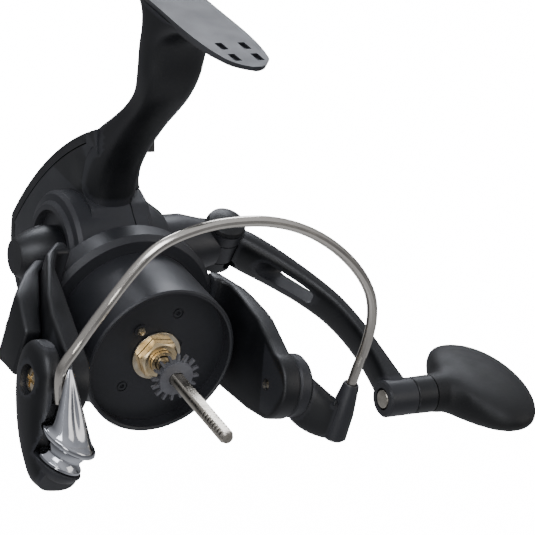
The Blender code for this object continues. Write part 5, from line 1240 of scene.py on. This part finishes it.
def handle_arm(fold):
    """The cranked arm in the fold hinge's frame, whose origin is at HINGE_X on the crank axis."""
    up = Vector((0, 0, 1))
    stations = (  # share of the length, half width, half thickness
        (0.02, 5.4, 3.0), (0.07, 5.8, 3.2), (0.14, 5.7, 3.0), (0.22, 5.4, 2.7), (0.33, 5.0, 2.4), (0.46,
                                4.7, 2.2),
        (0.6, 4.5, 2.1), (0.75, 4.4, 2.2), (0.88, 4.4, 2.8), (0.97, 4.3, 3.6), (1.0, 3.6, 3.4),
    )
    rings = []
    for share, half, thick in stations:
        ahead, behind = min(share + 0.04, 1.0), max(share - 0.04, 0.0)
        path = Vector((arm_centre(ahead) - arm_centre(behind), -(ahead - behind) * ARM_LENGTH,
                       0)).normalized()
        centre = (arm_centre(share) - HINGE_X, -share * ARM_LENGTH, 0)
        rings.append(section(centre, path.cross(up), up, thick, half, 14, 3.0))
    made = loft("handle_arm", rings, fold, BLACK)
    # Nothing of the bar may stand behind the hinge's knuckle, or the fold would lock
    cut(made, block("shank_clear", (-20, -9, -12), (SHANK_END + GAP - HINGE_X, 14, 12), fold))
    boss = [(0, ARM_END_X - ARM_BOSS_HALF - 0.2), (ARM_BOSS_R - 0.5, ARM_END_X - ARM_BOSS_HALF - 0.2),
            (ARM_BOSS_R, ARM_END_X - ARM_BOSS_HALF + 0.3), (ARM_BOSS_R, ARM_END_X + ARM_BOSS_HALF),
            (0, ARM_END_X + ARM_BOSS_HALF)]
    at = (-HINGE_X, -ARM_LENGTH, 0)
    join(made, turned("arm_end_boss", boss, "X", fold, None, at, 24))
    for side in (-1, 1):
        low, high = sorted((side * (TONGUE_HALF + GAP), side * 6.4))
        join(made, rod(f"arm_ear_{side}", KNUCKLE_R, low, high, "Z", fold, sides=28))
    inside = TONGUE_HALF + GAP
    cut(made, rod("tongue_room", KNUCKLE_R + GAP, -inside, inside, "Z", fold, sides=28))
    cut(made, rod("hinge_hole", 1.8, -12, 12, "Z", fold, sides=16))
    near, far = -0.17 * ARM_LENGTH, -0.40 * ARM_LENGTH
    slot = rounded([(far, -1.6, 1.2), (near, -2.6, 2.0), (near, 3.0, 2.0), (far, 2.2, 1.2)], 3)
    cut(made, plate("arm_slot", slot, 0, 40, "X", fold))
    cut(made, rod("knob_axle_hole", AXLE_KNOB_R + 0.1, 10, 60, "X", fold, None, (0, -ARM_LENGTH, 0), 18))
    cut(made, rod("axle_head_seat", 2.9, 10, ARM_END_X - HINGE_X - ARM_BOSS_HALF + 0.6, "X", fold, None,
                  (0, -ARM_LENGTH, 0), 20))
    pocket = rod("hinge_screw_pocket", 1.6, 2.2, 9, "Z", fold, None, (0, 0, 0), 14, turn=(90, 0, 0))
    pocket.location = Vector((2.2, -1.4, -3.9)) * MM
    cut(made, pocket)
    return made


def fold_pin(crank, fold):
    """Pin through the hinge with a domed head above the upper ear."""
    profile = [(0, -6.2), (1.5, -6.2), (1.5, 6.7), (KNUCKLE_R - 0.1, 6.7), (KNUCKLE_R - 0.5, 7.7),
               (3.4, 8.5), (0, 8.8)]
    turned("fold_pin", profile, "Z", fold, BLACK, sides=28)


def knob_group(fold, knob):
    """Axle, collar and knob, in a frame whose X is the knob's axis."""
    inner = ARM_END_X - ARM_BOSS_HALF
    profile = [(0, inner - 0.5), (2.3, inner - 0.3), (2.6, inner + 0.4), (AXLE_KNOB_R, inner + 0.4),
               (AXLE_KNOB_R, COLLAR_END + 9.0), (0, COLLAR_END + 9.0)]
    turned("knob_axle", profile, "X", knob, STEEL, sides=20)
    spin = axis_empty("knob_spin_axis", knob)
    start = ARM_END_X + ARM_BOSS_HALF + 0.3
    bore = AXLE_KNOB_R + 0.15
    profile = [(bore, start), (4.5, start), (4.8, start + 0.3), (4.9, COLLAR_END - 0.3),
               (bore, COLLAR_END - 0.3)]
    turned("knob_collar", profile, "X", spin, BLACK, sides=24, ring=True)
    rings = []
    low, high = KNOB_CENTRE - KNOB_HALF[0], KNOB_CENTRE + KNOB_HALF[0]
    stations = (  # x, half along Y, half along Z
        (COLLAR_END, 4.8, 4.8), (COLLAR_END + 1.5, 5.1, 5.0), (75.6, 5.5, 5.1), (77.2, 7.6, 5.3), (78.8,
                                11.4, 5.5),
        (81.2, 15.6, 5.7), (84.6, 18.8, 5.9), (88.4, KNOB_HALF[1], KNOB_HALF[2]), (92.6, 18.3, 5.6),
        (96.0, 14.7, 4.7), (98.4, 9.4, 3.2), (high, 3.0, 1.2),
    )
    for x, half_y, half_z in stations:
        rings.append(section((x, 0, 0), (0, 1, 0), (0, 0, 1), half_y, half_z, 20, 2.1))
    made = loft("knob", rings, spin, SOFT)
    cut(made, rod("knob_bore", bore, COLLAR_END - 2, COLLAR_END + 9.6, "X", spin, sides=20))
    return spin, low


def handle_cap(crank):
    """Screw cap on the far end of the drive rod, its grip slots round the root."""
    inner = CAP_SEAT - GAP
    profile = [(0, CAP_END), (CAP_R - 0.4, CAP_END), (CAP_R, CAP_END + 0.4), (6.6, CAP_END + 4.0),
               (CAP_ROOT_R, CAP_ROOT), (CAP_ROOT_R - 0.3, inner), (AXLE_R - 0.2, inner), (AXLE_R - 0.2,
                                       -11.2),
               (0, -11.2)]
    made = turned("handle_cap", profile, "X", crank, BLACK, sides=26)
    cut(made, rod("cap_thread_bore", 1.8, -21.4, -9, "X", crank, sides=16))
    for i in range(4):
        angle = math.radians(45 + 90 * i)
        at = (0, (CAP_ROOT_R + 0.7) * math.cos(angle), (CAP_ROOT_R + 0.7) * math.sin(angle))
        cut(made, rod(f"cap_grip_{i}", 1.3, CAP_END + 4.6, -9, "X", crank, None, at, 12))
    return made


# --- Assembly -----------------------------------------------------------------------------

OSCILLATION_REACH = SPUR_MODULE * (SPUR_TEETH + OSCILLATION_TEETH) / 2 + 0.1
OSCILLATION_Y = CRANK_Y + math.sqrt(OSCILLATION_REACH ** 2 - CRANK_Z ** 2)
PIN_SHIFT = 1.5
SLIDER_X = -3.0
GUIDE_Z = -7.6
LEVER_Y = 46.0
COVER_SCREWS = ((34.0, -13.6), (66.0, -9.0), (58.6, 21.4))
BAIL_SWEEP = 9.4

before = set(bpy.data.objects)
reel = axis_empty("reel_datum", None, (0, -FOOT_CENTRE_Y, -FOOT_HEIGHT))
crank_axis = axis_empty("crank_axis", reel, (0, CRANK_Y, CRANK_Z), (CRANK_REST, 0, 0))
rotor_axis = axis_empty("rotor_axis", reel, (0, 0, 0), (0, ROTOR_REST, 0))
bail_axis = axis_empty("bail_axis", rotor_axis, (0, PIVOT_Y, 0))
fold_axis = axis_empty("fold_axis", crank_axis, (HINGE_X, 0, 0))
knob_axis = axis_empty("knob_axis", crank_axis, (0, -ARM_LENGTH, 0), (-CRANK_REST, 0, 0))

body_housing(reel)
side_cover(reel)
rear_cover(reel)
anti_reverse_lever(reel)
shaft_group(reel)
rotor(rotor_axis)
arm_covers(rotor_axis)
nut_and_washer(rotor_axis)
seat = bail_arm(bail_axis)
fairing_made, _ = roller_group(bail_axis, seat)
wire_curve("bail_wire", WIRE_R, bail_axis, WIRE, smooth_run(wire_points(), 6), 4)
groove_run = [p for p in smooth_run(wire_points(), 2)[:8]]
groove_run[0] = groove_run[0] - Vector((0, 0, 1.0))
cut(fairing_made, mesh_from_curve(wire_curve("wire_groove", WIRE_R + 0.25, bail_axis, BLACK, groove_run)))
bail_holder(bail_axis)
pivot_screws(rotor_axis)
handle_shank(crank_axis)
handle_arm(fold_axis)
fold_pin(crank_axis, fold_axis)
knob_group(fold_axis, knob_axis)
handle_cap(crank_axis)


def settle(made):
    """The piece as one finished mesh in the row frame, its edges eased and its rounds smooth."""
    graph = bpy.context.evaluated_depsgraph_get()
    mesh = bpy.data.meshes.new_from_object(made.evaluated_get(graph))
    mesh.transform(made.matrix_world)
    look = made.data.materials[0]
    mesh.materials.clear()
    mesh.materials.append(look)
    mesh.polygons.foreach_set("material_index", [0] * len(mesh.polygons))
    mesh.shade_smooth()
    mesh.set_sharp_from_angle(angle=math.radians(30))
    piece = bpy.data.objects.new(made["node"] + "_finish", mesh)
    bpy.context.scene.collection.objects.link(piece)
    if made["node"] not in ROUND_ALREADY:
        ease = piece.modifiers.new("eased edges", "BEVEL")
        ease.width = 0.14 * MM
        ease.segments = 2
        ease.limit_method = "ANGLE"
        ease.angle_limit = math.radians(32)
        ease.harden_normals = True
    return piece


ROUND_ALREADY = ("bail_wire", "knob", "roller_fairing")
BODY_OF = {}
for body, members in frame["record"]["behaviour"]["bodies"].items():
    for node in members:
        BODY_OF[node] = body
SLOT_OF = {entry["node"]: entry["material_slot"] for entry in frame["record"]["subparts"]}
KEEP_FROM_FRAME = ("crosswind_slider", "slider_screw", "slider_guide_rod")

bpy.context.view_layer.update()
made_here = [o for o in bpy.data.objects if o not in before and o.type in ("MESH", "CURVE")]
shown = []
for made in made_here:
    node = made.name.split(".")[0]
    made["node"] = node
    if not made.hide_render and node not in KEEP_FROM_FRAME:
        shown.append(settle(made))
for old in [o for o in bpy.data.objects if o not in before and o not in shown]:
    bpy.data.objects.remove(old)
for piece in shown:
    node = piece.name[:-len("_finish")]
    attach(piece, BODY_OF[node])
    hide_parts(node)

INNER_LOOKS = {
    "black_nylon": BLACK, "soft_touch": SOFT, "chrome": CHROME, "steel": STEEL, "nickel": NICKEL, "brass": BRASS,
    "zinc_casting": ZINC, "grey_zinc": GREY, "acetal": ACETAL,
}
for node, made in frame["nodes"].items():
    for place_in in made.material_slots:
        place_in.material = INNER_LOOKS[SLOT_OF[node]]


# --- Studio -------------------------------------------------------------------------------

def floor_paint():
    """Pale painted floor, its tone drifting a little so that it isn't a flat colour."""
    made, tree, shader, where = surface("pale_floor", Roughness=0.8, Emission_Strength=16.0)
    cloud = grain(tree, where, 300.0, 2.0)
    tone = blend_colours(tree, cloud, colour("fbfbfb"), colour("f6f6f7"))
    tree.links.new(tone, shader.inputs["Base Color"])
    tree.links.new(tone, shader.inputs["Emission Color"])
    return made


def floor(height):
    """Wide floor that curves up into a wall far behind."""
    work = bmesh.new()
    rows = []
    run = [(-6.0, 0.0), (3.0, 0.0)] + [(3 + 1.5 * math.sin(a * 0.157),
                            1.5 - 1.5 * math.cos(a * 0.157)) for a in range(1, 11)]
    run.append((4.5, 6.0))
    for x in (-6.0, 6.0):
        rows.append([work.verts.new((x, y, z + height)) for y, z in run])
    for i in range(len(run) - 1):
        work.faces.new((rows[0][i], rows[1][i], rows[1][i + 1], rows[0][i + 1]))
    mesh = bpy.data.meshes.new("studio_floor")
    work.to_mesh(mesh)
    work.free()
    mesh.materials.append(floor_paint())
    mesh.shade_smooth()
    made = bpy.data.objects.new("studio_floor", mesh)
    bpy.context.scene.collection.objects.link(made)
    made.visible_glossy = made.visible_diffuse = made.visible_transmission = False


def lamp(name, at, aim, size, power, tint="ffffff"):
    light = bpy.data.lights.new(name, "AREA")
    light.shape = "RECTANGLE"
    light.size, light.size_y = size
    light.energy = power
    light.color = colour(tint)[:3]
    made = bpy.data.objects.new(name, light)
    bpy.context.scene.collection.objects.link(made)
    made.location = at
    made.rotation_euler = (Vector(aim) - Vector(at)).to_track_quat("-Z", "Y").to_euler()


floor(-0.19)
MIDDLE = (0.02, 0.0, -0.06)
lamp("key", (-0.45, -0.35, 0.65), MIDDLE, (0.5, 0.5), 4.4, "f4f7ff")
lamp("fill", (0.75, -0.55, 0.25), MIDDLE, (0.5, 0.5), 1.2, "fffaf4")
lamp("front", (-0.55, -0.8, 0.05), MIDDLE, (0.3, 0.5), 1.5)
lamp("rim", (0.25, 0.75, 0.5), MIDDLE, (0.7, 0.3), 5.0, "f2f6ff")
world = bpy.data.worlds.new("studio")
bpy.context.scene.world = world
world.use_nodes = True
sky = world.node_tree
height = add(sky, "SeparateXYZ", {"Vector": add(sky, "TexCoord").outputs["Generated"]}).outputs["Z"]
glow = spread(sky, height, 0.10, 0.60, -0.2, 0.8)
under = spread(sky, height, 0.5, 0.0, -0.9, -0.1)
total = add(sky, "Math", {0: glow, 1: under}, operation="ADD").outputs[0]
sky.links.new(total, sky.nodes["Background"].inputs["Strength"])
sky.nodes["Background"].inputs["Color"].default_value = colour("f6f8ff")

AZIMUTH, ELEVATION, ROLL = math.radians(-33.11), math.radians(25.92), math.radians(11)
right = Vector((math.cos(AZIMUTH), math.sin(AZIMUTH), 0))
back = Vector((math.sin(AZIMUTH) * math.cos(ELEVATION), -math.cos(AZIMUTH) * math.cos(ELEVATION),
               math.sin(ELEVATION)))
up = back.cross(right)
roll = Matrix.Rotation(ROLL, 3, back)
right, up = roll @ right, roll @ up
camera = bpy.data.objects.new("camera", bpy.data.cameras.new("camera"))
camera.data.lens = 141.3
camera.data.sensor_width = 36.0
camera.data.clip_start = 0.01
bpy.context.scene.collection.objects.link(camera)
camera.matrix_world = Matrix((
    (right.x, up.x, back.x, -0.2278), (right.y, up.y, back.y, -0.4026), (right.z, up.z, back.z, 0.1629), (0,
            0, 0, 1),
))
bpy.context.scene.camera = camera
